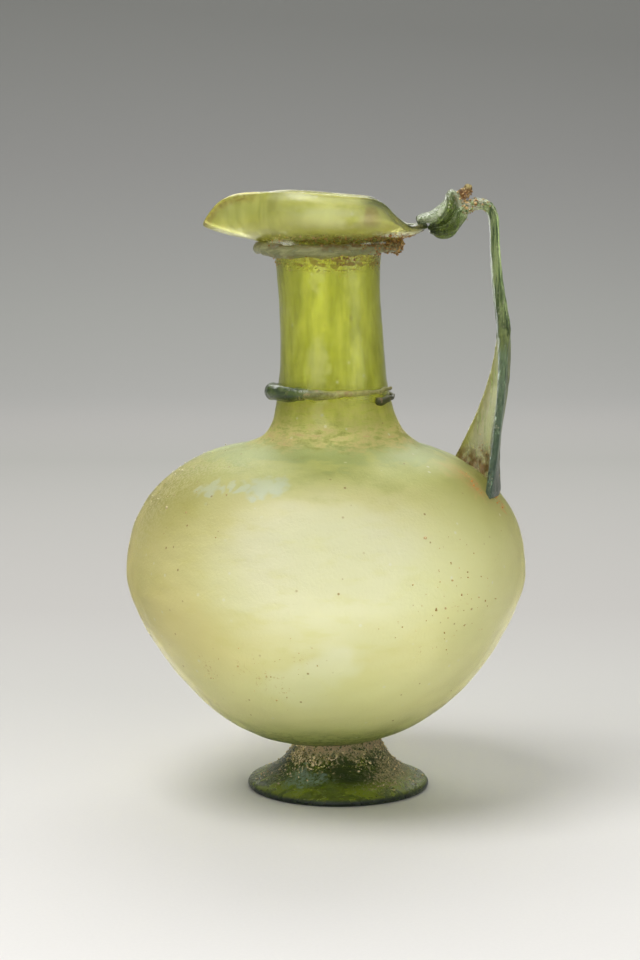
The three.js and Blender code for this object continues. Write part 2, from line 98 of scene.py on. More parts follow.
def smooth_path(points, count):
    """Samples of a centripetal Catmull-Rom curve through the points, with the same time for each span."""
    p = np.asarray(points, float)
    p = np.vstack([2 * p[0] - p[1], p, 2 * p[-1] - p[-2]])
    last = len(p) - 3
    t = np.linspace(0, last, count)
    low = np.minimum(t.astype(int), last - 1)
    u = (t - low)[:, None]
    a, b, c, d = (p[low + k] for k in range(4))
    ab, bc, cd = (
        np.maximum(np.linalg.norm(far - close, axis=1, keepdims=True) ** 0.5, 1e-4)
        for close, far in ((a, b), (b, c), (c, d)))
    start = bc * ((b - a) / ab - (c - a) / (ab + bc) + (c - b) / bc)
    end = bc * ((c - b) / bc - (d - b) / (bc + cd) + (d - c) / cd)
    return (b + start * u + (3 * (c - b) - 2 * start - end) * u ** 2
            + (2 * (b - c) + start + end) * u ** 3)


def bezier(controls, t):
    """A Bezier curve of any degree; a control's last axis is its coordinates."""
    rest = [np.asarray(c, float) for c in controls]
    while len(rest) > 1:
        rest = [(1 - t) * p + t * q for p, q in zip(rest, rest[1:])]
    return rest[0]


def even(points, count):
    """The same line with its points an even distance apart."""
    steps = np.linalg.norm(np.diff(points, axis=0), axis=1)
    along = np.concatenate([[0], np.cumsum(steps)])
    at = np.linspace(0, along[-1], count)
    return np.stack([np.interp(at, along, points[:, k]) for k in range(points.shape[1])], axis=1)


def drift(height):
    """How far the middle line has drifted along X at a height."""
    share = np.clip(np.asarray(height) / RIM_HEIGHT, 0, DRIFT_SHARES[-1])
    k = np.clip(np.searchsorted(DRIFT_SHARES, share, side="right") - 1, 0, len(DRIFT_X) - 2)
    low, high = np.take(DRIFT_SHARES, k), np.take(DRIFT_SHARES, k + 1)
    t = clamp((share - low) / (high - low))
    t = t * t * (3 - 2 * t)
    return np.take(DRIFT_X, k) * (1 - t) + np.take(DRIFT_X, k + 1) * t


def mouth_point(t, angle):
    """Radius and height of the mouth's outer side; t runs from the neck (0) to the rim (1)."""
    back = np.abs(np.arctan2(np.sin(angle), np.cos(angle)))
    front = pi - back
    low = (bump(back, BACK_WIDTHS[0]), plateau(back, BACK_WIDTHS[1]))

    def pressed(side, spout, rear, axis):
        return (side[axis] + (spout[axis] - side[axis]) * bump(front, SPOUT_WIDTHS[axis])
                + (rear[axis] - side[axis]) * low[axis])

    pinch = PINCH_DEPTH * bump(back - PINCH_AT, PINCH_WIDTH)
    bowl = [pressed(SIDE_BOWL, SPOUT_BOWL, BACK_BOWL, axis) for axis in (0, 1)]
    rim = [pressed(SIDE_RIM, SPOUT_RIM, BACK_RIM, axis) for axis in (0, 1)]
    rim[1] = rim[1] + LIP_LIFT * bump(front - LIP_LIFT_AT, LIP_LIFT_WIDTH)
    rim[1] = rim[1] - SPOUT_DROP * bump(front, SPOUT_DROP_WIDTH)
    flat = 0 * angle
    controls = [
        (NECK_TOP_RADIUS + flat, flat), (NECK_TOP_RADIUS + MOUTH_ROOT[0] + flat, MOUTH_ROOT[1] + flat),
        (bowl[0] - pinch / 2, bowl[1]), (rim[0] - pinch, rim[1])]
    return bezier([np.stack(pair, axis=-1) for pair in controls], t) + np.array([0, NECK_TOP])


def shoulder_point(turn):
    return np.stack([
        BELLY_RADIUS * np.cos(turn) ** (2 / SHOULDER_ACROSS),
        BELLY_HEIGHT + SHOULDER_RISE * np.sin(turn) ** (2 / SHOULDER_UP)], axis=-1)


def shoulder_radius(share):
    return BELLY_RADIUS * (1 - share ** SHOULDER_UP) ** (1 / SHOULDER_ACROSS)


def round_profile():
    """The body's outer profile below the mouth, as radius and height, finely drawn."""
    t = np.linspace(0, 1, 160)[:, None]
    bowl = bezier([(0, STAND_HEIGHT), (BOWL_SPREAD, STAND_HEIGHT - BOWL_SAG),
                   (BELLY_RADIUS, BELLY_HEIGHT - BOWL_TUCK), (BELLY_RADIUS, BELLY_HEIGHT)], t)
    shoulder = shoulder_point(np.linspace(0, SHOULDER_TURN, 120))
    start = shoulder[-1]

    def narrowing(rows, wide, thin):
        return [(thin + left * (wide - thin), SHOULDER_TOP + share * NECK_LENGTH) for share, left in rows]

    neck = smooth_path([
        tuple(start), *narrowing(NECK_SWEEP, start[0], NECK_FOOT),
        *narrowing(NECK_TAPER, NECK_FOOT, NECK_WAIST), (NECK_TOP_RADIUS, NECK_TOP)], 160)
    return np.vstack([bowl[:-1], shoulder[:-1], neck])


ROUND_PROFILE = round_profile()


def around(middle, radius, height, angle):
    return np.stack([middle + radius * np.cos(angle), radius * np.sin(angle), height + 0 * angle], axis=-1)


def stand(radius, height, angle):
    """Places in space for radius, height and angle round the leaning middle line."""
    return around(drift(height), radius, height, angle)


def ripple(points, size, seed):
    """A smooth random field between about -1 and 1, whose waves are about size long."""
    rng = np.random.default_rng(seed)
    total = np.zeros(points.shape[:-1])
    for _ in range(14):
        wave = rng.normal(size=3)
        wave *= TURN / (size * np.linalg.norm(wave)) * rng.uniform(0.6, 1.5)
        total += np.sin(points @ wave + rng.uniform(0, TURN))
    return total / 4


def grid_normals(grid):
    """Outward directions of a grid of rings; the rings close on themselves."""
    around = np.roll(grid, -1, axis=1) - np.roll(grid, 1, axis=1)
    up = np.gradient(grid, axis=0)
    return unit(np.cross(around, up))


def ring_faces(rows, columns):
    """Quads between rings that close on themselves."""
    a = np.arange(rows - 1)[:, None] * columns + np.arange(columns)
    b = np.arange(rows - 1)[:, None] * columns + (np.arange(columns) + 1) % columns
    return np.stack([a, b, b + columns, a + columns], axis=-1).reshape(-1, 4).tolist()


def add_to_scene(name, data):
    made = bpy.data.objects.new(name, data)
    bpy.context.scene.collection.objects.link(made)
    return made


def smooth_mesh(name, points, faces):
    """An object of smooth faces, from points in millimetres."""
    mesh = bpy.data.meshes.new(name)
    mesh.from_pydata((points * MM).tolist(), [], faces)
    mesh.polygons.foreach_set("use_smooth", [True] * len(mesh.polygons))
    return add_to_scene(name, mesh)


def closed_mesh(name, grid):
    """A smooth closed mesh from a stack of rings, with a fan of faces at either end."""
    rows, columns = grid.shape[:2]
    points = np.vstack([grid.reshape(-1, 3), grid[0].mean(0), grid[-1].mean(0)])
    faces = ring_faces(rows, columns)
    first, last, top = len(points) - 2, len(points) - 1, (rows - 1) * columns
    for i in range(columns):
        faces.append((first, (i + 1) % columns, i))
        faces.append((last, top + i, top + (i + 1) % columns))
    made = smooth_mesh(name, points, faces)
    made.data.validate()
    return made


def give_color(obj, name, shares):
    """Stores three shares for each vertex as a colour attribute."""
    layer = obj.data.attributes.new(name, "FLOAT_COLOR", "POINT")
    colors = np.ones((len(shares), 4), np.float32)
    colors[:, :3] = shares
    layer.data.foreach_set("color", colors.ravel())


# Body

BODY_COLUMNS = 256
BELLY_ROWS, MOUTH_ROWS = 130, 44
WAVE_HEIGHT, WAVE_LENGTH = 0.28, 55
RIPPLE_HEIGHT, RIPPLE_LENGTH, RIPPLE_FLATNESS = 0.1, 17, 2.2
LIP_ROUNDING = 0.4
EDGE_FROM, EDGE_FADE = 0.93, 0.05


def body_outside():
    """The outer surface as a grid of rings, from the bottom of the belly to the rim."""
    angle = np.linspace(0, TURN, BODY_COLUMNS, endpoint=False)
    rows = even(ROUND_PROFILE, BELLY_ROWS)[1:-1]
    lower = stand(rows[:, :1], rows[:, 1:], angle[None, :])
    t = np.linspace(0, 1, MOUTH_ROWS)[:, None, None]
    mouth = mouth_point(t, angle)
    rolled = clamp((t[..., 0] - LIP_ROLL_FROM) / (1 - LIP_ROLL_FROM)) ** 2
    mouth[..., 0] -= LIP_ROLL * rolled * np.sin(angle) ** 2
    upper = stand(mouth[..., 0], mouth[..., 1], angle[None, :])
    grid = np.concatenate([lower, upper])
    uneven = WAVE_HEIGHT * ripple(grid, WAVE_LENGTH, 3)
    uneven += RIPPLE_HEIGHT * ripple(grid * (1, 1, RIPPLE_FLATNESS), RIPPLE_LENGTH, 4)
    return grid + grid_normals(grid) * (uneven[..., None] - INSET)


def body():
    outer = body_outside()
    normal = grid_normals(outer)
    height = outer[:, :1, 2].mean(1)
    blend = clamp((height - BELLY_HEIGHT) / (SHOULDER_TOP - BELLY_HEIGHT))
    wall = BELLY_WALL + (NECK_WALL - BELLY_WALL) * blend + (LIP_WALL - NECK_WALL) * (height > NECK_TOP)
    inner = outer - normal * wall[:, None, None]
    along = unit(outer[-1] - outer[-2])
    turns = np.linspace(0, pi, 9)[1:-1]
    lip = [(outer[-1] + inner[-1]) / 2 + normal[-1] * LIP_WALL / 2 * cos(a)
           + along * LIP_WALL * LIP_ROUNDING * sin(a) for a in turns]
    grid = np.concatenate([outer, np.stack(lip), inner[::-1]])
    made = closed_mesh("blown_body", grid)
    climb = np.zeros(len(outer))
    climb[-MOUTH_ROWS:] = np.linspace(0, 1, MOUTH_ROWS)
    climb = np.concatenate([climb, np.ones(len(lip)), climb[::-1]])
    edge = clamp((climb - EDGE_FROM) / EDGE_FADE)
    skin = np.concatenate([np.ones(len(outer)), np.ones(len(lip)), np.zeros(len(inner))])
    shares = np.stack([edge, climb, skin], axis=-1)[:, None, :] + np.zeros((1, BODY_COLUMNS, 3))
    give_color(made, "mouth", np.vstack([shares.reshape(-1, 3), np.zeros((2, 3))]))
    return made, outer


body_piece, OUTSIDE = body()


def clear_of_body(points, gap=SEAT_GAP):
    """Points with those inside the body, below its mouth, moved out onto its surface."""
    flat = points.reshape(-1, 3)
    middle = drift(flat[:, 2])
    angle = np.arctan2(flat[:, 1], flat[:, 0] - middle)
    column = np.round(angle / TURN * BODY_COLUMNS).astype(int) % BODY_COLUMNS
    normal = grid_normals(OUTSIDE)
    moved = flat.copy()
    for k in np.unique(column):
        mine = np.flatnonzero(column == k)
        line, out = OUTSIDE[:, k], normal[:, k]
        away = flat[mine, None, :] - line[None]
        nearest = np.argmin((away ** 2).sum(-1), axis=1)
        depth = (away[np.arange(len(mine)), nearest] * out[nearest]).sum(-1)
        low = (depth < gap) & (depth > -9) & (nearest < len(line) - 2)
        moved[mine[low]] += out[nearest[low]] * (gap - depth[low])[:, None]
    return moved.reshape(points.shape)


# Foot

FOOT_RADIUS, FOOT_TOP_RADIUS, FOOT_OFFSET = 36.1, 16.6, 4.7
FLARE_RADIUS, FLARE_HEIGHT = 18.5, 9.0
FOOT_EDGE, FOOT_REST_WIDTH, FOOT_CROWN, FOOT_BITE = 1.3, 1.6, 4.9, 3.0
FOOT_COLUMNS, FOOT_UNEVEN = 192, 0.25


def foot():
    edge, crown = FOOT_RADIUS - FOOT_EDGE, STAND_HEIGHT - FOOT_CROWN
    t = np.linspace(0, 1, 40)[:, None]
    flare = bezier([(FOOT_TOP_RADIUS, STAND_HEIGHT + FOOT_BITE), (FLARE_RADIUS, FLARE_HEIGHT),
                    (FOOT_RADIUS, 2 * FOOT_EDGE)], t)
    turn = np.radians(np.linspace(40, -90, 12))
    rounding = np.stack([edge + FOOT_EDGE * np.cos(turn), FOOT_EDGE + FOOT_EDGE * np.sin(turn)], axis=1)
    hollow = bezier([(edge - FOOT_REST_WIDTH, 0), (FLARE_RADIUS, crown), (0, crown)], t)
    outline = np.vstack([flare[:-1], rounding, hollow[:-1]])
    angle = -np.linspace(0, TURN, FOOT_COLUMNS, endpoint=False)
    radius, height = outline[:, :1], outline[:, 1:]
    grid = around(FOOT_OFFSET, radius, height, angle)
    lift = clamp(height / 6)
    outwards = np.sign(grid[..., :2] - np.array([FOOT_OFFSET, 0]))
    grid[..., :2] += FOOT_UNEVEN * (ripple(grid, 23, 7) * lift)[..., None] * outwards
    top = grid[..., 2] > STAND_HEIGHT - 2
    seated = clear_of_body(grid)
    grid[top] = seated[top]
    return closed_mesh("flared_foot", grid)


foot_piece = foot()


def tube(path, radius, sides=20):
    """Rings round a path; radius may change along it."""
    along = unit(np.gradient(path, axis=0))
    side = np.cross([0, 0, 1], along)
    weak = np.linalg.norm(side, axis=1) < 0.2
    side[weak] = (0, 1, 0)
    side = unit(side)
    up = np.cross(along, side)
    turn = np.linspace(0, TURN, sides, endpoint=False)[None, :, None]
    radius = np.broadcast_to(radius, len(path))[:, None, None]
    return path[:, None] + radius * (np.cos(turn) * side[:, None] + np.sin(turn) * up[:, None])


# Threads: in degrees where they start and how far they go round; lumps are height, place and width

THREAD_ROWS = 420
NECK_TRAIL_START, NECK_TRAIL_SWEEP = -47, 399
NECK_TRAIL_LOW, NECK_TRAIL_RISE = 0.255, 0.055
NECK_TRAIL_THIN, NECK_TRAIL_SEAT = 0.65, 0.55
NECK_TRAIL_LUMPS = [(2.5, 190, 80), (0.9, -38, 16)]
RIM_TRAIL_START, RIM_TRAIL_SWEEP = -158, 390
RIM_TRAIL_UP, RIM_TRAIL_TILT, RIM_TRAIL_CLIMB = 3.9, 0.6, 1.3
RIM_TRAIL_RADIUS, RIM_TRAIL_SWELL, RIM_TRAIL_OUT = 2.3, 0.35, 6.1


def radius_at(height):
    return np.interp(height, ROUND_PROFILE[:, 1], ROUND_PROFILE[:, 0])


def rounded_ends(t, share):
    """One along a thread, falling to a blunt end at both of its ends."""
    return np.sqrt(np.clip(1 - (1 - clamp(np.minimum(t, 1 - t) / share)) ** 2, 0.002, 1))


def neck_thread():
    t = np.linspace(0, 1, THREAD_ROWS)
    angle = np.radians(NECK_TRAIL_START + t * NECK_TRAIL_SWEEP)
    height = SHOULDER_TOP + (NECK_TRAIL_LOW + t * NECK_TRAIL_RISE) * NECK_LENGTH
    radius = NECK_TRAIL_THIN + sum(
        lump * bump(angle - radians(place), radians(width)) for lump, place, width in NECK_TRAIL_LUMPS)
    path = stand(radius_at(height) + NECK_TRAIL_SEAT * radius, height, angle)
    rings = tube(path, radius * rounded_ends(t, 0.006))
    rings[..., 2] += 0.28 * ripple(rings, 6, 11)
    return closed_mesh("neck_trail", clear_of_body(rings))


def rim_thread():
    t = np.linspace(0, 1, THREAD_ROWS)
    angle = np.radians(RIM_TRAIL_START + t * RIM_TRAIL_SWEEP)
    height = NECK_TOP + RIM_TRAIL_UP + RIM_TRAIL_TILT * np.cos(angle) + RIM_TRAIL_CLIMB * (t - 0.5)
    radius = RIM_TRAIL_RADIUS + RIM_TRAIL_SWELL * np.sin(3 * angle + 0.6)
    path = stand(NECK_TOP_RADIUS + RIM_TRAIL_OUT + 0 * angle, height, angle)
    rings = tube(path, radius * rounded_ends(t, 0.025))
    rings += 0.3 * ripple(rings, 7, 12)[..., None] * np.array([0.4, 0.4, 1])
    return closed_mesh("rim_trail", clear_of_body(rings))


neck_piece = neck_thread()
rim_piece = rim_thread()


# Handle

# Its ribs' feet: angle, share of the shoulder's rise, thickness, how far each bows out and sways
RIB_FEET = [
    (radians(-22.3), 0.646, 1.4, 1.1, 0), (0, 0.655, 1.7, 0.4, 1.1),
    (radians(24), 0.8, 1.15, 2.6, 0)]
RIB_WIDTH, RIB_WIDENING, RIB_SINK, WEB_THICKNESS = 0.1275, 0.12, 0.02, 1.2
STRAP_ROWS, STRAP_COLUMNS, STRAP_EDGE, ROD_ROWS, TAB_ROWS, CORD_ROWS = 200, 110, 9, 260, 200, 80
ROD_STRANDS, SKIN_VOXEL = 0.3, 0.34

# Stations of rod and tab, measured from the back of the rim: out, up, thickness, flatness
GATHER = (30.2, -38.9, 2.8, 2.0)
ROD = [
    (29.9, -56.0, 0.5, 0.4), (30.4, -47.5, 1.9, 1.3), GATHER, (28.4, -27.0, 2.6, 1.9),
    (27.5, -19.9, 2.35, 1.7), (26.8, -12.1, 2.2, 1.6), (26.3, -4.3, 2.05, 1.6),
    (26.1, 1.5, 2.05, 1.6), (25.4, 5.7, 2.15, 1.7), (23.3, 8.8, 2.25, 1.8),
    (19.8, 9.7, 2.4, 2.0), (16.3, 8.7, 2.5, 2.2), (12.8, 6.1, 3.0, 2.5), (9.5, 1.6, 3.4, 2.9),
    (6.2, -0.1, 3.15, 3.2), (3.0, -0.3, 2.4, 3.4), (1.0, 0.0, 1.7, 3.4)]
TAB = [
    (-8.2, 2.9, 0.15, 1.2), (-7.0, 2.9, 0.5, 2.6), (-5.1, 3.0, 1.05, 3.8), (-2.4, 4.0, 1.75, 4.6),
    (2.3, 4.8, 2.4, 4.2), (5.4, 7.1, 2.3, 3.6), (7.9, 10.4, 1.6, 3.2), (8.3, 13.1, 1.1, 3.0),
    (9.4, 14.4, 1.0, 2.8), (11.0, 13.3, 1.1, 2.6), (12.0, 11.0, 1.3, 2.4), (13.2, 8.4, 1.5, 2.0)]
# Round cords melted into the tab, three folds, the stub and the notch's fill: out, far, up, radius
FOLDS = [
    [(3.6, 0.3, 1.8, 2.4), (7.6, 0.3, 5.2, 2.9), (10.6, 0.2, 9.6, 2.3), (9.7, 0.1, 12.6, 1.2)],
    [(1.6, -3.6, 0.8, 1.0), (5.4, -5.0, 4.7, 1.1), (8.3, -4.6, 9.2, 1.0), (8.2, -3.6, 12.2, 0.9),
     (9.2, -2.0, 14.2, 0.9)],
    [(1.7, -1.4, -0.6, 0.9), (5.0, -2.0, -2.7, 1.1), (8.8, -2.2, -2.2, 1.2), (12.2, -1.6, 1.6, 1.1),
     (15.5, -0.8, 5.9, 1.0)]]
STUB = [(13.1, 0.2, 9.6, 1.8), (13.2, 0.4, 13.1, 2.1), (15.1, 0.6, 14.3, 2.1), (16.3, 0.5, 17.4, 1.3)]
NOTCH = [(0.2, 0.0, 0.6, 0.7), (1.2, 0.0, 0.5, 1.3), (2.6, 0.0, 0.6, 1.9), (4.2, 0.0, 0.8, 2.3)]
CORDS = [*FOLDS, STUB, NOTCH]

# Shares painted on the handle for its glass: web, near rib, far edge, tab, lobe and stub
TAB_SHARES, LOBE_SHARES = (0, 0, 0, 1, 0, 0), (0, 0, 0, 0, 1, 0)
CORD_SHARES = [
    (0, 0, 0, 0, 0.8, 0), (0, 0, 0, 0, 0.85, 0), (0, 0, 0, 0.1, 0.6, 0),
    (0, 0, 0, 0, 0, 1), (0, 0, 0, 0.3, 0.6, 0)]

rim_radius, rim_height = mouth_point(1.0, np.zeros(1))[0]
BACK_OF_RIM = stand(rim_radius, rim_height, np.zeros(1))[0]


def strap():
    """Three ribs on the shoulder with a web between them, gathered at the foot of the rod."""
    feet = [stand(shoulder_radius(share), BELLY_HEIGHT + share * SHOULDER_RISE, np.array(angle))
            for angle, share, *_ in RIB_FEET]
    out, up, thick, flat = GATHER
    gather = BACK_OF_RIM + (out, 0, up)
    tops = [gather + (0, k * flat, 0) for k in (-1, 0, 1)]
    share = np.linspace(-RIB_SINK, 1.0, STRAP_ROWS)[:, None]
    lift = clamp(share)
    ribs = []
    for foot, top, (*_, bow, sway) in zip(feet, tops, RIB_FEET):
        lean = bow * np.sin(pi * lift) - sway * np.sin(TURN * lift)
        ribs.append(foot + share * (top - foot) + lean * np.array([1, 0, 0]))
    q = np.linspace(0, 1, STRAP_COLUMNS)[:, None]
    sheet = (ribs[0][:, None] * 2 * (q - 0.5) * (q - 1) - ribs[1][:, None] * 4 * q * (q - 1)
             + ribs[2][:, None] * 2 * q * (q - 0.5))
    outward = unit(np.cross(np.gradient(sheet, axis=1), np.gradient(sheet, axis=0)))
    web = (WEB_THICKNESS + (2 * thick - WEB_THICKNESS) * lift ** 3) / 2
    half = np.broadcast_to(web, (len(share), len(q))).copy()
    for k, (_, _, radius, _, _) in enumerate(RIB_FEET):
        size = radius + (thick - radius) * lift ** 4
        width = RIB_WIDTH + RIB_WIDENING * lift ** 2
        half = np.maximum(half, size * np.sqrt(clamp(1 - ((q[:, 0] - k / 2) / width) ** 2)))
    front = sheet + outward * half[..., None]
    back = sheet - outward * half[..., None]
    turn = np.linspace(0, pi, STRAP_EDGE + 2)[1:-1]
    across = unit(sheet[:, -1] - sheet[:, 0])

    def edge(k, sign):
        return np.stack([sheet[:, k] + half[:, k, None] * sign * (
            np.cos(a) * outward[:, k] + np.sin(a) * across) for a in turn], axis=1)

    return np.concatenate([front, edge(-1, 1), back[:, ::-1], edge(0, -1)], axis=1)


def band(stations, count, sides=60, strands=0.0):
    """A bent bar in the middle plane, its section an oval that changes along it, ribbed by strands."""
    s = smooth_path(stations, count)
    path = BACK_OF_RIM + np.stack([s[:, 0], 0 * s[:, 0], s[:, 1]], axis=1)
    along = unit(np.gradient(path, axis=0))
    far = np.array([0, 1, 0])
    inward = np.cross(along, far)
    turn = np.linspace(0, TURN, sides, endpoint=False)[None, :, None]
    radius, flat = s[:, 2][:, None, None], s[:, 3][:, None, None]
    ribbing = 1 - strands * (1 - np.abs(np.cos(2.5 * turn + 0.35)) ** 0.7)
    return (path[:, None] + (radius + flat) * ribbing * np.cos(turn) * far
            + radius * ribbing * np.sin(turn) * inward[:, None])


def painted(grid, masks):
    """The points of a part of the handle with the six shares of its masks."""
    masks = np.broadcast_to(masks, (*grid.shape[:2], 6))
    return grid.reshape(-1, 3), masks.reshape(-1, 6)


def strap_masks(shape):
    """Shares of web, near rib and far edge over the strap, by place across it."""
    rows, columns = shape[:2]
    face = np.linspace(0, 1, STRAP_COLUMNS)
    q = np.concatenate([face, np.ones(STRAP_EDGE), face[::-1], np.zeros(STRAP_EDGE)])
    masks = np.zeros((rows, columns, 6))
    masks[..., 0] = clamp((q - 0.52) / 0.1)
    masks[..., 1] = bump(q, 0.075)
    masks[..., 2] = bump(q - 1, 0.05)
    fade = clamp((np.linspace(1, 0, rows) - 0.04) / 0.12)
    return clamp(masks * fade[:, None, None])


def handle():
    strap_grid = strap()
    rod = band(ROD, ROD_ROWS, strands=ROD_STRANDS)
    tab = band(TAB, TAB_ROWS)
    low = clamp((np.linspace(0, 1, ROD_ROWS) - 0.72) / 0.1)[:, None, None]
    cords = []
    for cord in CORDS:
        s = smooth_path(cord, CORD_ROWS)
        radius = s[:, 3] * rounded_ends(np.linspace(0, 1, CORD_ROWS), 0.08)
        cords.append(tube(BACK_OF_RIM + s[:, :3], radius))
    sources = [
        painted(strap_grid, strap_masks(strap_grid.shape)), painted(rod, low * np.array(LOBE_SHARES)),
        painted(tab, TAB_SHARES), *(painted(cord, shares) for cord, shares in zip(cords, CORD_SHARES))]
    shells = [closed_mesh("handle_part", grid) for grid in (strap_grid, rod, tab, *cords)]
    joined = join("ribbed_handle", shells)
    remesh(joined, SKIN_VOXEL, 3)
    grid = read_points(joined)
    grid += 0.06 * ripple(grid, 5, 21)[:, None] * np.array([1, 1, 0.3])
    grid = clear_of_body(grid)
    write_points(joined, grid)
    paint(joined, grid, sources)
    return joined


def paint(obj, grid, sources):
    """Gives each vertex the masks of the parts near it, as the colour attributes strap and crest."""
    points = np.vstack([p[::3] for p, _ in sources])
    masks = np.vstack([m[::3] for _, m in sources])
    tree = kdtree.KDTree(len(points))
    for i, p in enumerate(points):
        tree.insert(p, i)
    tree.balance()
    shares = np.zeros((len(grid), 6))
    for k, p in enumerate(grid):
        hits = tree.find_n(p, 6)
        weights = np.array([1 / (0.05 + away) ** 2 for _, _, away in hits])
        shares[k] = weights @ masks[[i for _, i, _ in hits]] / weights.sum()
    give_color(obj, "strap", shares[:, :3])
    give_color(obj, "crest", shares[:, 3:])


def join(name, objects):
    """One object that holds the meshes of all the given ones."""
    bpy.ops.object.select_all(action="DESELECT")
    for o in objects:
        o.select_set(True)
    bpy.context.view_layer.objects.active = objects[0]
    bpy.ops.object.join()
    objects[0].name = name
    objects[0].data.name = name
    return objects[0]


def remesh(obj, voxel, smoothing):
    """Melts overlapping shells into one skin, as hot glass runs together."""
    melt = obj.modifiers.new("melt", "REMESH")
    melt.mode = "VOXEL"
    melt.voxel_size = voxel * MM
    melt.use_smooth_shade = True
    settle = obj.modifiers.new("settle", "SMOOTH")
    settle.factor = 0.5
    settle.iterations = smoothing
    depsgraph = bpy.context.evaluated_depsgraph_get()
    mesh = bpy.data.meshes.new_from_object(obj.evaluated_get(depsgraph))
    obj.modifiers.clear()
    obj.data = mesh


def read_points(obj):
    flat = np.empty(len(obj.data.vertices) * 3, np.float32)
    obj.data.vertices.foreach_get("co", flat)
    return flat.reshape(-1, 3).astype(float) / MM


def write_points(obj, points):
    obj.data.vertices.foreach_set("co", (points * MM).astype(np.float32).ravel())
    obj.data.update()


handle_piece = handle()


# Crust

def crumbs(name, host, chance, count, size, seed):
    """Lumps of crust sunk into a host's skin, where chance(x, y, z, up) gives how likely each place is."""
    rng = np.random.default_rng(seed)
    points = read_points(host)
    normals = np.empty(len(points) * 3, np.float32)
    host.data.vertices.foreach_get("normal", normals)
    normals = normals.reshape(-1, 3).astype(float)
    weight = np.clip(chance(*points.T, normals[:, 2]), 0, None)
    picked = rng.choice(len(points), size=count, p=weight / weight.sum())
    ball = bmesh.new()
    bmesh.ops.create_icosphere(ball, subdivisions=2, radius=1)
    sphere = np.array([v.co[:] for v in ball.verts])
    sides = np.array([[v.index for v in f.verts] for f in ball.faces])
    ball.free()
    radius = size * rng.lognormal(0, 0.4, (count, 1, 1))
    shape = sphere[None] * rng.uniform(0.6, 1.25, (count, 1, 3))
    shape = shape * rng.uniform(0.82, 1.15, (count, len(sphere), 1))
    middle = points[picked] + rng.normal(0, 0.25, (count, 3)) - normals[picked] * size * 0.35
    corners = middle[:, None] + shape * radius
    faces = (np.arange(count)[:, None, None] * len(sphere) + sides[None]).reshape(-1, 3)
    return smooth_mesh(name, corners.reshape(-1, 3), faces.tolist())


def close_to(x, y, z, spots):
    """How close places are to given spots: each is a place and a reach."""
    place = np.stack([x, y, z], axis=-1)
    return sum(bump(np.linalg.norm(place - spot, axis=-1), reach) for spot, reach in spots)


def patches(x, y, z, size, seed):
    return clamp(ripple(np.stack([x, y, z], axis=-1), size, seed) * 0.7 + 0.35)


def foot_chance(x, y, z, up):
    upper = (up > 0.05) * (z > 3.4) * (z < STAND_HEIGHT + 1)
    top = clamp((z - 9) / 7)
    right = 0.34 * clamp((x - 13) / 14)
    left = 0.2 * clamp((-12 - x) / 12)
    dense = np.maximum(top, np.maximum(right, left)) * (0.15 + patches(x, y, z, 9, 31))
    return upper * (dense + 0.8 * close_to(x, y, z, [((-11, -14, 15), 7)]))


def body_chance(x, y, z, up):
    outside = np.hypot(x - drift(z), y) > radius_at(z) - 1.2
    under_rim = 0.25 * bump(z - 209, 2.2) * patches(x, y, z, 8, 32)
    under_rim = under_rim + close_to(x, y, z, [((6.5, -20, 210), 3.4)])
    strap_foot = 1.2 * close_to(
        x, y, z, [((57, -27, 124.5), 2.6), ((68, -20, 117.5), 2.4), ((54, -22, 128), 2)])
    left = clamp((-26 - x) / 12)
    shoulder = 0.4 * bump(z - 119, 12) * left * bump(y, 34) * patches(x, y, z, 14, 33)
    low = 0.16 * close_to(
        x, y, z, [((-24, -64, 57), 9), ((-45, -51, 58), 6), ((-9, -71, 65), 5), ((44, -58, 86), 18)])
    above_thread = 0.22 * bump(z - 219.3, 1.1) * clamp((x + 24) / 20)
    return outside * (under_rim + above_thread + strap_foot + shoulder + low)


def rim_chance(x, y, z, up):
    upper = bump(z - 217.5, 1.2) * np.clip((x + 8) / 20, 0.1, 1)
    return (upper + 0.5 * bump(z - 212, 1) * np.clip((x + 5) / 10, 0.15, 1) + clamp((x - 17) / 6))


def handle_chance(x, y, z, up):
    stub = close_to(x, y, z, [((54.5, 0, 236), 2.4)]) * (z < 237.2)
    crest = 0.35 * close_to(x, y, z, [((55, -2.5, 231), 3.5), ((61, -2.5, 235), 3)])
    web = 0.12 * close_to(x, y, z, [((58, 8, 134), 6), ((63, -14, 124), 5)])
    return (stub + crest + web) * (np.abs(y) < 12)


foot_crumbs = crumbs("foot_crumbs", foot_piece, foot_chance, 2300, 0.21, 41)
body_crumbs = crumbs("body_crumbs", body_piece, body_chance, 2000, 0.2, 42)
rim_crumbs = crumbs("rim_crumbs", rim_piece, rim_chance, 900, 0.32, 43)
handle_crumbs = crumbs("handle_crumbs", handle_piece, handle_chance, 420, 0.2, 44)


# Materials

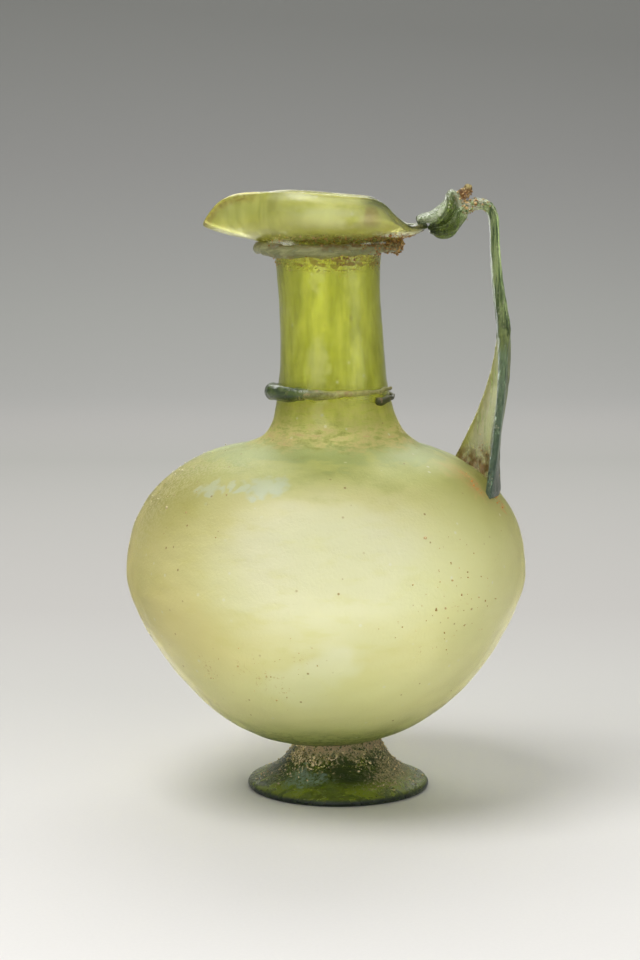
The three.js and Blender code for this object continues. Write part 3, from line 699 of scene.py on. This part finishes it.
class Shader:
    """A node material with one principled shader, and short ways to add the nodes that feed it."""

    def __init__(self, name, **plain):
        self.material = bpy.data.materials.new(name)
        self.material.use_nodes = True
        self.tree = self.material.node_tree
        self.surface = self.tree.nodes["Principled BSDF"]
        for socket, value in plain.items():
            self.surface.inputs[socket.replace("_", " ")].default_value = value
        place = self.add("TexCoord").outputs["Object"]
        self.place = self.vector("MULTIPLY", place, (1 / MM, 1 / MM, 1 / MM))
        self.ragged_noise = {}

    def add(self, kind, inputs=None, **settings):
        """A new node of a kind, with values or links for its inputs."""
        node = self.tree.nodes.new("ShaderNode" + kind)
        for key, value in settings.items():
            setattr(node, key, value)
        for key, value in (inputs or {}).items():
            if isinstance(value, bpy.types.NodeSocket):
                self.tree.links.new(value, node.inputs[key])
            else:
                node.inputs[key].default_value = value
        return node

    def vector(self, operation, a, b, output=0):
        return self.add("VectorMath", {0: a, 1: b}, operation=operation).outputs[output]

    def stretched(self, scale, shift=0):
        """The place in millimetres, scaled along each axis and shifted to other noise."""
        place = self.place
        if scale != (1, 1, 1):
            place = self.vector("MULTIPLY", place, scale)
        if shift:
            place = self.vector("ADD", place, (shift, 2 * shift, 3 * shift))
        return place

    def noise(self, size, detail=4.0, rough=0.55, scale=(1, 1, 1), distort=0.0, shift=0):
        """Noise whose cells are about size millimetres."""
        return self.add("TexNoise", {
            "Vector": self.stretched(scale, shift), "Scale": 1 / size, "Detail": detail,
            "Roughness": rough, "Distortion": distort}).outputs["Fac"]

    def cells(self, size):
        """Distance in millimetres to the nearest of scattered points about size apart."""
        node = self.add("TexVoronoi", {"Vector": self.place, "Scale": 1 / size})
        return self.math("MULTIPLY", node.outputs["Distance"], size)

    def ramp(self, value, low, high, start=0.0, end=1.0, kind="SMOOTHSTEP"):
        """The value's stretch from low to high, mapped onto start to end; high may be the lower one."""
        return self.add("MapRange", {
            "Value": value, "From Min": low, "From Max": high, "To Min": start, "To Max": end},
            interpolation_type=kind).outputs["Result"]

    def window(self, value, rise, full, fade, gone):
        """One from full to fade, and nothing below rise and above gone."""
        return self.both(self.ramp(value, rise, full), self.ramp(value, gone, fade))

    def math(self, operation, a, b=0.0):
        return self.add("Math", {0: a, 1: b}, operation=operation).outputs[0]

    def fold(self, operation, values):
        total = values[0]
        for value in values[1:]:
            total = self.math(operation, total, value)
        return total

    def both(self, *values):
        return self.fold("MULTIPLY", values)

    def either(self, *values):
        return self.fold("MAXIMUM", values)

    def sum(self, *values):
        return self.fold("ADD", values)

    def axis(self, name):
        return self.add("SeparateXYZ", {"Vector": self.place}).outputs[name]

    def grazing(self, power):
        """Nothing where the surface faces the eye, one at its outline, as glass thickens to the eye; it is
        used to paint shade and sheen towards the outline.
        """
        facing = self.add("LayerWeight", {"Blend": 0.5}).outputs["Facing"]
        return self.math("POWER", facing, power)

    def near(self, centres, ragged, size=5.0, stretch=(1, 1, 1)):
        """Blotches round given places: pairs of a place and a reach in millimetres, with ragged edges."""
        if size not in self.ragged_noise:
            noise = self.add("TexNoise", {
                "Vector": self.place, "Scale": 1 / size, "Detail": 1.0, "Roughness": 0.7}).outputs["Color"]
            self.ragged_noise[size] = self.vector("SUBTRACT", noise, (0.5, 0.5, 0.5))
        push = self.vector("MULTIPLY", self.ragged_noise[size], (2 * ragged, 2 * ragged, 2 * ragged))
        moved = self.vector("ADD", self.place, push)
        if stretch != (1, 1, 1):
            moved = self.vector("MULTIPLY", moved, stretch)
        shares = []
        for centre, reach in centres:
            target = tuple(c * k for c, k in zip(centre, stretch))
            away = self.vector("DISTANCE", moved, target, "Value")
            shares.append(self.math("DIVIDE", away, reach))
        return self.ramp(self.fold("MINIMUM", shares), 1.15, 0.55)

    def mix(self, share, a, b, kind="MIX"):
        """The colour a where the share is nothing, and b where it is one."""
        a, b = (c if isinstance(c, bpy.types.NodeSocket) else (*c, 1) for c in (a, b))
        return self.add("Mix", {0: share, 6: a, 7: b}, data_type="RGBA", blend_type=kind).outputs[2]

    def fade(self, value, low, high, a, b):
        return self.mix(self.ramp(value, low, high), a, b)

    def lay(self, under, tone, *shares):
        """A tone laid over a colour where all the shares meet."""
        return self.mix(self.both(*shares), under, tone)

    def layers(self, under, rows):
        """Tones laid over a colour one after another: each row is a tone and its shares."""
        for tone, *shares in rows:
            under = self.lay(under, tone, *shares)
        return under

    def along(self, value, stops, kind="SMOOTHSTEP"):
        """A colour that changes along a value through stops of a place and a colour."""
        color = stops[0][1]
        for (low, _), (high, after) in zip(stops, stops[1:]):
            color = self.mix(self.ramp(value, low, high, kind=kind), color, after)
        return color

    def mask(self, name):
        """The red, green and blue shares painted on the mesh under this name."""
        painted = self.add("Attribute", attribute_name=name).outputs["Color"]
        return list(self.add("SeparateColor", {"Color": painted}).outputs)

    def finish(self, color, rough, *relief):
        """Links base colour, roughness and relief: pairs of a height in millimetres and its value."""
        self.tree.links.new(color, self.surface.inputs["Base Color"])
        self.tree.links.new(rough, self.surface.inputs["Roughness"])
        if relief:
            total = self.sum(*(self.both(value, height) for height, value in relief))
            raised = self.add("Bump", {"Height": total, "Distance": MM, "Strength": 1})
            self.tree.links.new(raised.outputs["Normal"], self.surface.inputs["Normal"])
        return self.material


def body_glass():
    s = Shader("blown_glass", Transmission_Weight=0.82, IOR=1.4, Specular_IOR_Level=0.5)
    x, z = s.axis("X"), s.axis("Z")
    front = s.ramp(s.axis("Y"), 4, -6)
    cloud = s.noise(34, 1, 0.5)
    brushed = s.noise(13, 3, 0.6, (1, 1, 3))
    drawn = s.noise(6, 3, 0.6, (1, 1, 0.3))
    fine = s.noise(1.3, 3, 0.7)
    swell = s.noise(15, 1, 0.5, (1, 1, 1.6), shift=3)
    facing = s.grazing(1)
    edge, climb, skin = s.mask("mouth")

    pale = s.fade(cloud, 0.3, 0.7, (0.945, 0.935, 0.785), (0.91, 0.91, 0.72))
    pale = s.lay(pale, (0.84, 0.83, 0.5), s.ramp(brushed, 0.48, 0.75), 0.5)
    # Painted shade: the belly darker and more olive towards its outline
    pale = s.mix(s.ramp(facing, 0.05, 0.32), pale, (0.94, 0.9, 0.66), "MULTIPLY")
    # Painted light: the right side of the belly lighter
    pale = s.lay(pale, (0.98, 1, 0.72), s.ramp(x, 12, 60), 0.6)
    straw = s.near([((-52, -48, 70), 24), ((-40, -56, 55), 16)], 12, 16)
    pale = s.lay(pale, (0.98, 0.9, 0.58), straw, 0.4)
    # Painted glow: pale patches where light through the lower belly is brightest
    painted_glow = s.near([((-10, -66, 50), 15), ((4, -72, 62), 12)], 10, 16)
    pale = s.lay(pale, (1, 1, 0.93), painted_glow, 0.7)
    # Painted shade: the upper belly and shoulder darker still towards the outline
    pale = s.mix(s.both(s.ramp(facing, 0.1, 0.6), s.ramp(z, 96, 122)), pale, (0.62, 0.63, 0.36), "MULTIPLY")
    wet = s.fade(drawn, 0.34, 0.66, (0.92, 0.95, 0.24), (0.62, 0.65, 0.11))
    bowl_low = s.fade(brushed, 0.3, 0.7, (0.68, 0.75, 0.36), (0.44, 0.53, 0.2))
    shoulder = s.fade(brushed, 0.3, 0.7, (0.72, 0.75, 0.36), (0.54, 0.57, 0.22))
    # Painted glow: the belly lighter towards the bottom, below about 70 mm
    pale = s.lay(pale, (1, 1, 0.72), s.ramp(z, 70, 48), 0.7)
    color = s.along(z, [(20, bowl_low), (40, pale)])
    lifted = s.sum(z, s.both(brushed, 16))
    color = s.layers(color, [
        (shoulder, s.ramp(lifted, 130, 142)),
        # Painted shade: a green line in the crease where the neck meets the shoulder
        ((0.5, 0.62, 0.36), s.window(lifted, 141, 144, 145, 149), 0.55),
        (wet, s.ramp(z, 139, 156))])

    # The mouth's bowl, in bands that follow its rim, with painted highlights, a painted reflection and painted
    # shade low on the bowl
    bowl = s.fade(drawn, 0.3, 0.7, (0.9, 0.9, 0.36), (0.7, 0.7, 0.2))
    # Painted highlight: a whitish band high on the outside of the bowl
    painted_sheen = s.both(s.window(climb, 0.56, 0.72, 0.86, 0.94), s.ramp(brushed, 0.36, 0.5))
    within = s.both(s.ramp(skin, 0.6, 0.4), s.ramp(s.axis("Y"), 0, 8))
    tan_end = s.near([((17.4, -30.3, 227.3), 4.5)], 3)
    color = s.layers(color, [
        (bowl, s.ramp(climb, 0.02, 0.2)),
        ((1, 1, 0.76), painted_sheen, s.window(x, -26, -4, 4, 26), 0.5),
        # Painted reflection: a blue-grey band high on the inside of the far wall
        ((0.5, 0.6, 0.46), s.window(climb, 0.6, 0.75, 0.93, 0.97), within, 0.8),
        # Painted shade: a dark band low on the bowl, right of the middle
        ((0.2, 0.23, 0.07), s.window(climb, 0.12, 0.2, 0.36, 0.56), s.ramp(x, -26, -4), 0.85),
        # Painted highlight: a pale yellow line along the rim's edge
        ((0.92, 0.92, 0.5), edge, s.ramp(x, -24, -20)),
        ((0.2, 0.23, 0.12), edge, s.ramp(x, 10, 20)),
        ((0.5, 0.36, 0.1), edge, s.ramp(x, -22, -32), s.ramp(fine, 0.4, 0.55), 0.7),
        ((0.62, 0.44, 0.26), tan_end, 0.6)])

    # Painted highlights: whitish-yellow glints on the neck
    painted_glints = s.near([((-3.5, -21, 171), 5.5), ((-2, -21, 176), 3), ((-4, -21, 204), 3.5),
                      ((-3, -24, 155), 5)], 5, stretch=(1, 1, 0.5))
    color = s.lay(color, (1, 1, 0.62), painted_glints, 0.65)

    # Weathering: tan skin at the neck's foot, pale patches, pits, brown and white specks; also a painted sheen
    # along the left outline, a darker bottom and painted shade towards the outline
    ragged = s.sum(z, s.both(s.noise(6, 2, 0.65), 8))
    skirt_top = s.either(s.ramp(ragged, 154, 149), s.both(s.ramp(ragged, 163, 158), 0.4))
    skirt = s.both(s.ramp(ragged, 141, 144.5), skirt_top)
    strokes = s.noise(6.5, 3, 0.62, (1, 1, 3.6), shift=4)
    # Pale bluish-white patches high on the left of the shoulder
    pale_patches = s.near([((-23.6, -53.9, 128.1), 9), ((-44.9, -43, 125.5), 7), ((-34, -49, 127), 5)], 7,
                   stretch=(1, 1, 1.7))
    pits = s.near([((-44.9, -51.2, 58.1), 5), ((-33, -60, 59.5), 4), ((-24, -64, 57), 6),
                   ((-16.4, -62.8, 53.2), 4), ((-8.8, -71.5, 65.1), 4), ((34, -64, 70), 4),
                   ((47, -58, 84), 5)], 9)
    speckled = s.noise(17, 1, 0.5, shift=7)
    scattered = s.cells(6)
    dots = s.both(s.ramp(scattered, 0.62, 0.32), s.ramp(speckled, 0.5, 0.6))
    flecks = s.both(s.ramp(scattered, 0.85, 0.42), s.ramp(speckled, 0.5, 0.42))
    # Painted sheen: a pale band along the left outline of the belly, where the surface turns from the eye
    painted_edge_sheen = s.both(s.ramp(facing, 0.45, 0.75), s.ramp(fine, 0.47, 0.54), s.window(z, 84, 104, 131, 137),
                  s.ramp(x, 0, -20))
    mottled = s.noise(3, 3, 0.7, (1, 1, 2))
    stain = s.both(s.window(z, 204, 210, 216, 223), s.ramp(mottled, 0.5, 0.6),
                   s.ramp(x, -26, 4, 0.35, 1))
    rust = s.near([((57.5, -27, 124.5), 4.5), ((68.5, -20, 117), 4), ((53, -24, 128), 4)], 4)
    tan = s.near([((51, -23, 129), 9), ((58, -28, 122), 6)], 8)
    # Darker green towards the bottom of the belly, over the foot
    dark_bottom = s.both(s.ramp(z, 33, 22), s.ramp(mottled, 0.46, 0.62))
    # Tone of the painted shade towards the outline, olive on the belly and darker green up the neck
    outline = s.fade(z, 140, 160, (0.78, 0.72, 0.42), (0.55, 0.55, 0.22))
    color = s.layers(color, [
        ((0.93, 0.8, 0.5), skirt, s.ramp(strokes, 0.42, 0.56), s.ramp(fine, 0.4, 0.52, 0.5), 0.8),
        ((0.4, 0.42, 0.1), skirt, s.ramp(strokes, 0.46, 0.38), s.ramp(fine, 0.56, 0.44, 0.3), 0.6),
        ((0.86, 0.6, 0.42), s.ramp(strokes, 0.62, 0.68), skirt, s.ramp(z, 148, 142), 0.7),
        ((0.8, 0.88, 0.92), pale_patches, 0.7),
        ((0.56, 0.4, 0.16), pits, s.ramp(fine, 0.56, 0.64), 0.7),
        ((0.32, 0.18, 0.05), dots, 0.9),
        ((1, 1, 0.96), flecks, 0.85),
        ((1, 0.97, 0.8), painted_edge_sheen, 0.85),
        ((0.33, 0.15, 0.04), stain, 0.85),
        ((0.86, 0.46, 0.2), rust, s.ramp(fine, 0.42, 0.54)),
        ((0.82, 0.64, 0.34), tan, 0.45),
        ((0.14, 0.2, 0.07), dark_bottom)])
    # Painted shade: the front half multiplied by that tone towards its outline
    color = s.mix(s.both(s.math("POWER", facing, 1.8), front), color, outline, "MULTIPLY")

    rough = s.ramp(z, 140, 160, 0.5, 0.16)
    rough = s.sum(rough, s.ramp(cloud, 0.3, 0.7, -0.04, 0.06))
    rough = s.sum(rough, s.both(s.either(pale_patches, skirt, stain, painted_edge_sheen), 0.3))
    return s.finish(color, rough, (0.6, swell), (0.16, fine), (0.3, s.both(drawn, s.ramp(z, 150, 160))))


def foot_glass():
    s = Shader("foot_glass", Transmission_Weight=0.7, IOR=1.45, Specular_IOR_Level=0.25)
    x, z = s.axis("X"), s.axis("Z")
    swirl = s.noise(9, 3, 0.6, (0.5, 1, 0.7), 1.4)
    grain = s.noise(1.15, 3, 0.74)
    glass = s.fade(swirl, 0.35, 0.65, (0.15, 0.22, 0.03), (0.04, 0.07, 0.012))
    # Painted glow: bright yellow-green low on the flare, as light shines through its thin edge
    glass = s.lay(glass, (0.44, 0.55, 0.04), s.window(z, 1.5, 3.5, 4, 8), s.ramp(swirl, 0.36, 0.58))
    glass = s.fade(z, 2.8, 1.4, glass, (0.02, 0.032, 0.024))
    film = s.near([((-11, -22, 8.5), 8), ((-2, -24, 8), 4)], 5, 4, (1, 1, 1.5))
    glass = s.lay(glass, (0.6, 0.82, 0.66), film, s.ramp(grain, 0.4, 0.58), 0.75)

    # Crumbs of tan crust, dense at the top and down the flare's right and left sides
    patchy = s.noise(8, 3, 0.6, (1, 1, 1.4), 0.6, 5)
    top = s.ramp(s.sum(z, s.both(patchy, 10)), 14.5, 24.5)
    right = s.both(s.ramp(s.sum(x, s.both(patchy, 22)), 22, 36), s.ramp(z, 2.5, 7), 0.85)
    left = s.both(s.ramp(s.sum(x, s.both(patchy, -16)), -20, -34), s.ramp(z, 3, 8), 0.7)
    dense = s.either(top, right, left)
    start = s.math("SUBTRACT", 0.63, s.both(dense, 0.23))
    crust = s.both(s.ramp(grain, start, s.sum(start, 0.05)), s.ramp(dense, 0.04, 0.2))
    tone = s.fade(s.noise(0.9, 2, 0.7, shift=8), 0.46, 0.58, (0.88, 0.74, 0.4), (0.32, 0.28, 0.1))
    tone = s.lay(tone, (0.98, 0.7, 0.44), s.ramp(z, 15, 18), s.ramp(patchy, 0.42, 0.55), 0.8)
    color = s.lay(glass, tone, crust, 0.9)
    lines = s.noise(8, 2, 0.5, (1, 1, 3.4), 2.2, 3)
    scratch = s.both(s.window(lines, 0.5, 0.509, 0.515, 0.524), s.window(z, 2.6, 3.6, 8, 11))
    color = s.lay(color, (0.7, 0.74, 0.46), scratch, 0.65)
    rough = s.sum(s.both(s.either(crust, s.both(film, 0.4)), 0.55),
                   s.ramp(swirl, 0.3, 0.7, 0.16, 0.34))
    return s.finish(color, rough, (0.3, swirl), (0.35, grain))


def neck_trail_glass():
    """Dark green glass at its thick left side, drawn out thin and tan towards the right."""
    s = Shader("neck_trail_glass", Transmission_Weight=0.55, IOR=1.5, Specular_IOR_Level=0.45)
    x = s.axis("X")
    streaks = s.noise(7, 4, 0.6, (1, 1, 5), 0.5)
    grain = s.noise(1.4, 3, 0.72)
    thin = s.ramp(s.sum(x, s.both(s.noise(9, 3), 14)), -6, 14)
    color = s.fade(streaks, 0.35, 0.65, (0.2, 0.28, 0.07), (0.05, 0.09, 0.035))
    tan = s.fade(grain, 0.4, 0.62, (0.84, 0.8, 0.32), (0.56, 0.5, 0.16))
    dots = s.ramp(s.cells(1.9), 0.42, 0.2)
    edge = s.both(s.ramp(s.noise(3, 4, 0.6, shift=5), 0.56, 0.66), s.ramp(x, -20, -6))
    color = s.layers(color, [
        (tan, thin, 0.9),
        ((0.12, 0.13, 0.03), s.ramp(x, 10, 14), s.ramp(s.axis("Z"), 158.5, 157)),
        ((0.16, 0.1, 0.03), dots, thin, 0.8),
        ((0.66, 0.46, 0.24), edge, 0.7)])
    # Painted shade: darker and more olive towards the outline
    color = s.mix(s.grazing(1.5), color, (0.6, 0.62, 0.4), "MULTIPLY")
    rough = s.sum(s.both(s.either(thin, edge), 0.35), s.ramp(streaks, 0.3, 0.7, 0.12, 0.24))
    return s.finish(color, rough, (0.3, streaks), (0.2, grain))


def rim_trail_glass():
    """Grey-green glass, stained brown above, with crumbs of crust where it meets the mouth."""
    s = Shader("rim_trail_glass", Transmission_Weight=0.45, IOR=1.45, Specular_IOR_Level=0.35)
    x, z = s.axis("X"), s.axis("Z")
    streaks = s.noise(6, 5, 0.6, (1, 1, 4), 0.8)
    grain = s.noise(1.6, 3, 0.72)
    color = s.fade(streaks, 0.35, 0.65, (0.54, 0.54, 0.26), (0.26, 0.27, 0.1))
    stain = s.both(s.ramp(s.sum(z, s.both(streaks, 5)), 216.5, 219.5),
                   s.ramp(x, -30, 12, 0.5, 1))
    right = s.both(s.ramp(x, 10, 24), s.ramp(z, 213, 216), s.ramp(grain, 0.4, 0.54))
    below = s.both(s.ramp(z, 213.5, 211.8), s.ramp(grain, 0.46, 0.58))
    rough = s.sum(s.both(s.either(stain, right), 0.4), s.ramp(streaks, 0.3, 0.7, 0.28, 0.42))
    color = s.layers(color, [
        ((0.5, 0.56, 0.38), s.ramp(streaks, 0.56, 0.66), 0.6),
        ((0.3, 0.13, 0.03), stain, s.ramp(grain, 0.42, 0.56), 0.85),
        ((0.22, 0.1, 0.025), right, 0.9),
        ((0.3, 0.22, 0.07), below, 0.7)])
    return s.finish(color, rough, (0.45, streaks), (0.5, grain))


def handle_glass():
    s = Shader("handle_glass", Transmission_Weight=0.66, IOR=1.45, Specular_IOR_Level=0.35)
    z = s.axis("Z")
    web, rib, edge = s.mask("strap")
    tab, lobe, stub = s.mask("crest")
    drawn = s.noise(1.3, 4, 0.6, (1, 1, 0.06), 0.2)
    wide = s.noise(4.5, 3, 0.5, (1, 1, 0.1), 0.2)
    grain = s.noise(1.3, 3, 0.7)
    color = s.fade(drawn, 0.44, 0.56, (0.5, 0.61, 0.26), (0.08, 0.14, 0.04))
    low = s.fade(drawn, 0.44, 0.56, (0.26, 0.33, 0.1), (0.05, 0.085, 0.02))
    sheet = s.fade(wide, 0.38, 0.62, (0.96, 1, 0.6), (0.98, 0.94, 0.68))
    sheet = s.fade(drawn, 0.55, 0.64, sheet, (0.6, 0.74, 0.3))
    near_rib = s.fade(drawn, 0.4, 0.7, (0.09, 0.16, 0.1), (0.28, 0.42, 0.28))
    stub_tone = s.fade(z, 236, 238.6, (0.3, 0.12, 0.02), (0.78, 0.66, 0.28))
    brown = s.both(s.ramp(z, 137, 130), s.ramp(s.noise(5, 3, 0.65), 0.4, 0.52), web)
    pink = s.both(s.ramp(z, 132, 124), s.ramp(wide, 0.42, 0.56), web)
    film = s.both(s.near([((56.5, -2.5, 231.5), 5), ((62, -2.5, 235), 3), ((67.5, -2, 231), 3)], 3, 3),
                  s.ramp(grain, 0.46, 0.58))
    specks = s.both(s.ramp(s.cells(1.7), 0.46, 0.24), s.ramp(s.noise(6, 3, shift=9), 0.4, 0.54))
    rough = s.sum(s.ramp(drawn, 0.3, 0.7, 0.12, 0.28), s.both(s.either(stub, film, brown), 0.5))
    color = s.layers(color, [
        (low, s.ramp(z, 196, 176)),
        ((0.07, 0.11, 0.05), s.ramp(z, 136, 126)),
        (sheet, web),
        ((0.66, 0.64, 0.16), edge),
        (near_rib, rib, s.ramp(z, 190, 172)),
        (s.fade(grain, 0.4, 0.6, (0.8, 0.85, 0.62), (0.4, 0.5, 0.26)), tab),
        (s.fade(drawn, 0.4, 0.6, (0.02, 0.032, 0.002), (0.14, 0.2, 0.012)), lobe),
        (s.fade(grain, 0.46, 0.6, stub_tone, (0.16, 0.08, 0.02)), stub),
        ((0.3, 0.19, 0.05), brown),
        ((0.86, 0.6, 0.44), pink, 0.6),
        ((0.9, 0.76, 0.68), film, 0.85),
        ((0.72, 0.7, 0.52), specks, 0.7)])
    return s.finish(color, rough, (0.8, drawn), (0.25, grain))


def crust_matter(name, dark, light, spots=()):
    """Dry crumbs of soil and decayed glass; a spot is a place with its reach, and its colour."""
    s = Shader(name, Roughness=0.85, Specular_IOR_Level=0.3)
    grain = s.noise(1.1, 3, 0.7)
    color = s.fade(s.noise(1.7, 2, 0.6), 0.4, 0.6, dark, light)
    for place, tone in spots:
        color = s.mix(s.near([place], 3), color, tone)
    color = s.mix(s.ramp(grain, 0.5, 0.7, 0, 0.5), color, (0.8, 0.7, 0.48))
    return s.finish(color, s.ramp(grain, 0.3, 0.7, 0.75, 0.95), (0.3, grain))


def dress(piece, material, node):
    piece.data.materials.clear()
    piece.data.materials.append(material)
    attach(piece, "root")
    if node:
        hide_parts(node)


dress(body_piece, body_glass(), "body")
dress(foot_piece, foot_glass(), "foot")
dress(neck_piece, neck_trail_glass(), "neck_thread")
dress(rim_piece, rim_trail_glass(), "rim_thread")
dress(handle_piece, handle_glass(), "handle")
foot_crust = crust_matter("foot_crust", (0.42, 0.34, 0.14), (0.84, 0.68, 0.42))
dress(foot_crumbs, foot_crust, None)
handle_crust = crust_matter("handle_crust", (0.26, 0.11, 0.03), (0.74, 0.52, 0.24))
dress(handle_crumbs, handle_crust, None)
dress(body_crumbs, crust_matter("body_crust", (0.5, 0.32, 0.12), (0.78, 0.6, 0.34), [
    (((-50, 0, 120), 42), (0.86, 0.82, 0.6)), (((62, -25, 121), 15), (0.85, 0.42, 0.14)),
    (((12, -10, 220), 30), (0.34, 0.16, 0.04))]), None)
dress(rim_crumbs, crust_matter("rim_crust", (0.22, 0.1, 0.02), (0.5, 0.3, 0.1)), None)


# Studio

PAPER_FRONT, PAPER_BACK, PAPER_BEND, PAPER_TOP, PAPER_SIDE = -1600, 1500, 500, 3000, 3000
# Each tone's distance over the sheet, in millimetres, and its grey; the greys paint the light and shade over
# the sheet
PAPER_SHADING_TONES = [
    (-220, (0.77, 0.75, 0.72)), (-40, (0.64, 0.625, 0.6)), (170, (0.535, 0.525, 0.495)),
    (380, (0.47, 0.455, 0.43)), (1035, (0.385, 0.38, 0.355)), (1290, (0.42, 0.41, 0.39)),
    (1512, (0.445, 0.44, 0.42)), (1830, (0.42, 0.42, 0.395)), (2160, (0.375, 0.37, 0.355)),
    (2420, (0.35, 0.35, 0.33))]


def paper(material):
    """A sheet of paper that sweeps from the floor up into a backdrop behind the jug."""
    turn = np.linspace(0, pi / 2, 24)[1:, None]
    floor = np.linspace((PAPER_FRONT, 0), (PAPER_BACK, 0), 60)
    bend = (PAPER_BACK, PAPER_BEND) + PAPER_BEND * np.hstack([np.sin(turn), -np.cos(turn)])
    wall = np.linspace(bend[-1], (bend[-1, 0], PAPER_TOP), 20)[1:]
    line = np.vstack([floor, bend, wall])
    points = np.array([(x, y, z) for y, z in line for x in (-PAPER_SIDE, PAPER_SIDE)])
    a = np.arange(len(line) - 1) * 2
    made = smooth_mesh("sweep", points, np.stack([a, a + 1, a + 3, a + 2], axis=1).tolist())
    made.data.materials.append(material)


def paper_matter():
    """Paper in the tones of the sheet, with its light and shade painted in, and a faint fibre."""
    s = Shader("sweep_paper", Specular_IOR_Level=0.2)
    color = s.along(s.sum(s.axis("Y"), s.axis("Z")), PAPER_SHADING_TONES, "LINEAR")
    fibre = s.noise(1.4, 2, 0.6)
    color = s.mix(s.ramp(fibre, 0.3, 0.7, 0.0, 0.03), color, (0.4, 0.4, 0.4))
    return s.finish(color, s.ramp(fibre, 0.3, 0.7, 0.85, 0.95))


def area_light(name, place, target, size, watts):
    data = bpy.data.lights.new(name, "AREA")
    data.shape = "RECTANGLE"
    data.size, data.size_y = size
    data.energy = watts
    lamp = add_to_scene(name, data)
    lamp.location = place
    lamp.rotation_euler = (Vector(target) - Vector(place)).to_track_quat("-Z", "Y").to_euler()
    return lamp


def card_light(piece, name, place, target, size, watts):
    """A small light that only one piece takes up, as from a card held close to it."""
    lamp = area_light(name, place, target, size, watts)
    lamp.visible_camera = False
    lit = bpy.data.collections.new(name)
    lit.objects.link(piece)
    lamp.light_linking.receiver_collection = lit


def studio():
    paper(paper_matter())
    area_light("key", (-0.53, -0.3, 1.57), (0, 0, 0.1), (0.9, 0.9), 19.5)
    area_light("fill", (0.7, -1.4, 1.15), (0, 0, 0.12), (1.4, 1.0), 4)
    area_light("back", (0.1, 1.3, 1.2), (0, 0, 0.1), (1.6, 0.9), 16)
    card_light(body_piece, "belly_glow", (0.025, 0.26, 0.055), (0.005, 0, 0.065), (0.26, 0.14), 0.02)
    card_light(body_piece, "low_glow", (0.01, 0.17, 0.003), (0.01, 0.17, 1), (0.3, 0.22), 0.46)
    card_light(body_piece, "side_glow", (0.5, -0.35, 0.12), (0.05, 0, 0.085), (0.3, 0.3), 0.6)
    card_light(body_piece, "neck_glow", (-0.003, 0.26, 0.2), (0.003, 0, 0.195), (0.03, 0.12), 0.012)
    card_light(foot_piece, "foot_fill", (-0.15, -0.6, 0.12), (0.005, 0, 0.015), (0.4, 0.1), 0.8)
    card_light(foot_crumbs, "crust_fill", (-0.1, -0.6, 0.12), (0.005, 0, 0.015), (0.4, 0.1), 0.7)
    card_light(handle_piece, "web_glow", (-0.1, 0.3, 0.2), (0.06, 0, 0.16), (0.14, 0.14), 0.3)
    world = bpy.data.worlds.new("soft_room")
    world.use_nodes = True
    sky = world.node_tree.nodes["Background"].inputs
    sky["Color"].default_value = (0.92, 0.94, 0.95, 1)
    sky["Strength"].default_value = 0.4
    bpy.context.scene.world = world


CAMERA_TILT = 7.68


def camera():
    """The camera fitted to the photograph, looking down a little at the jug."""
    data = bpy.data.cameras.new("camera")
    data.sensor_width = 36
    data.lens = 93.75
    made = add_to_scene("camera", data)
    made.location = (-0.00255, -0.979, 0.2552)
    made.rotation_euler = (radians(90 - CAMERA_TILT), 0, 0)
    bpy.context.scene.camera = made


studio()
camera()
bpy.context.scene.view_settings.view_transform = "Standard"
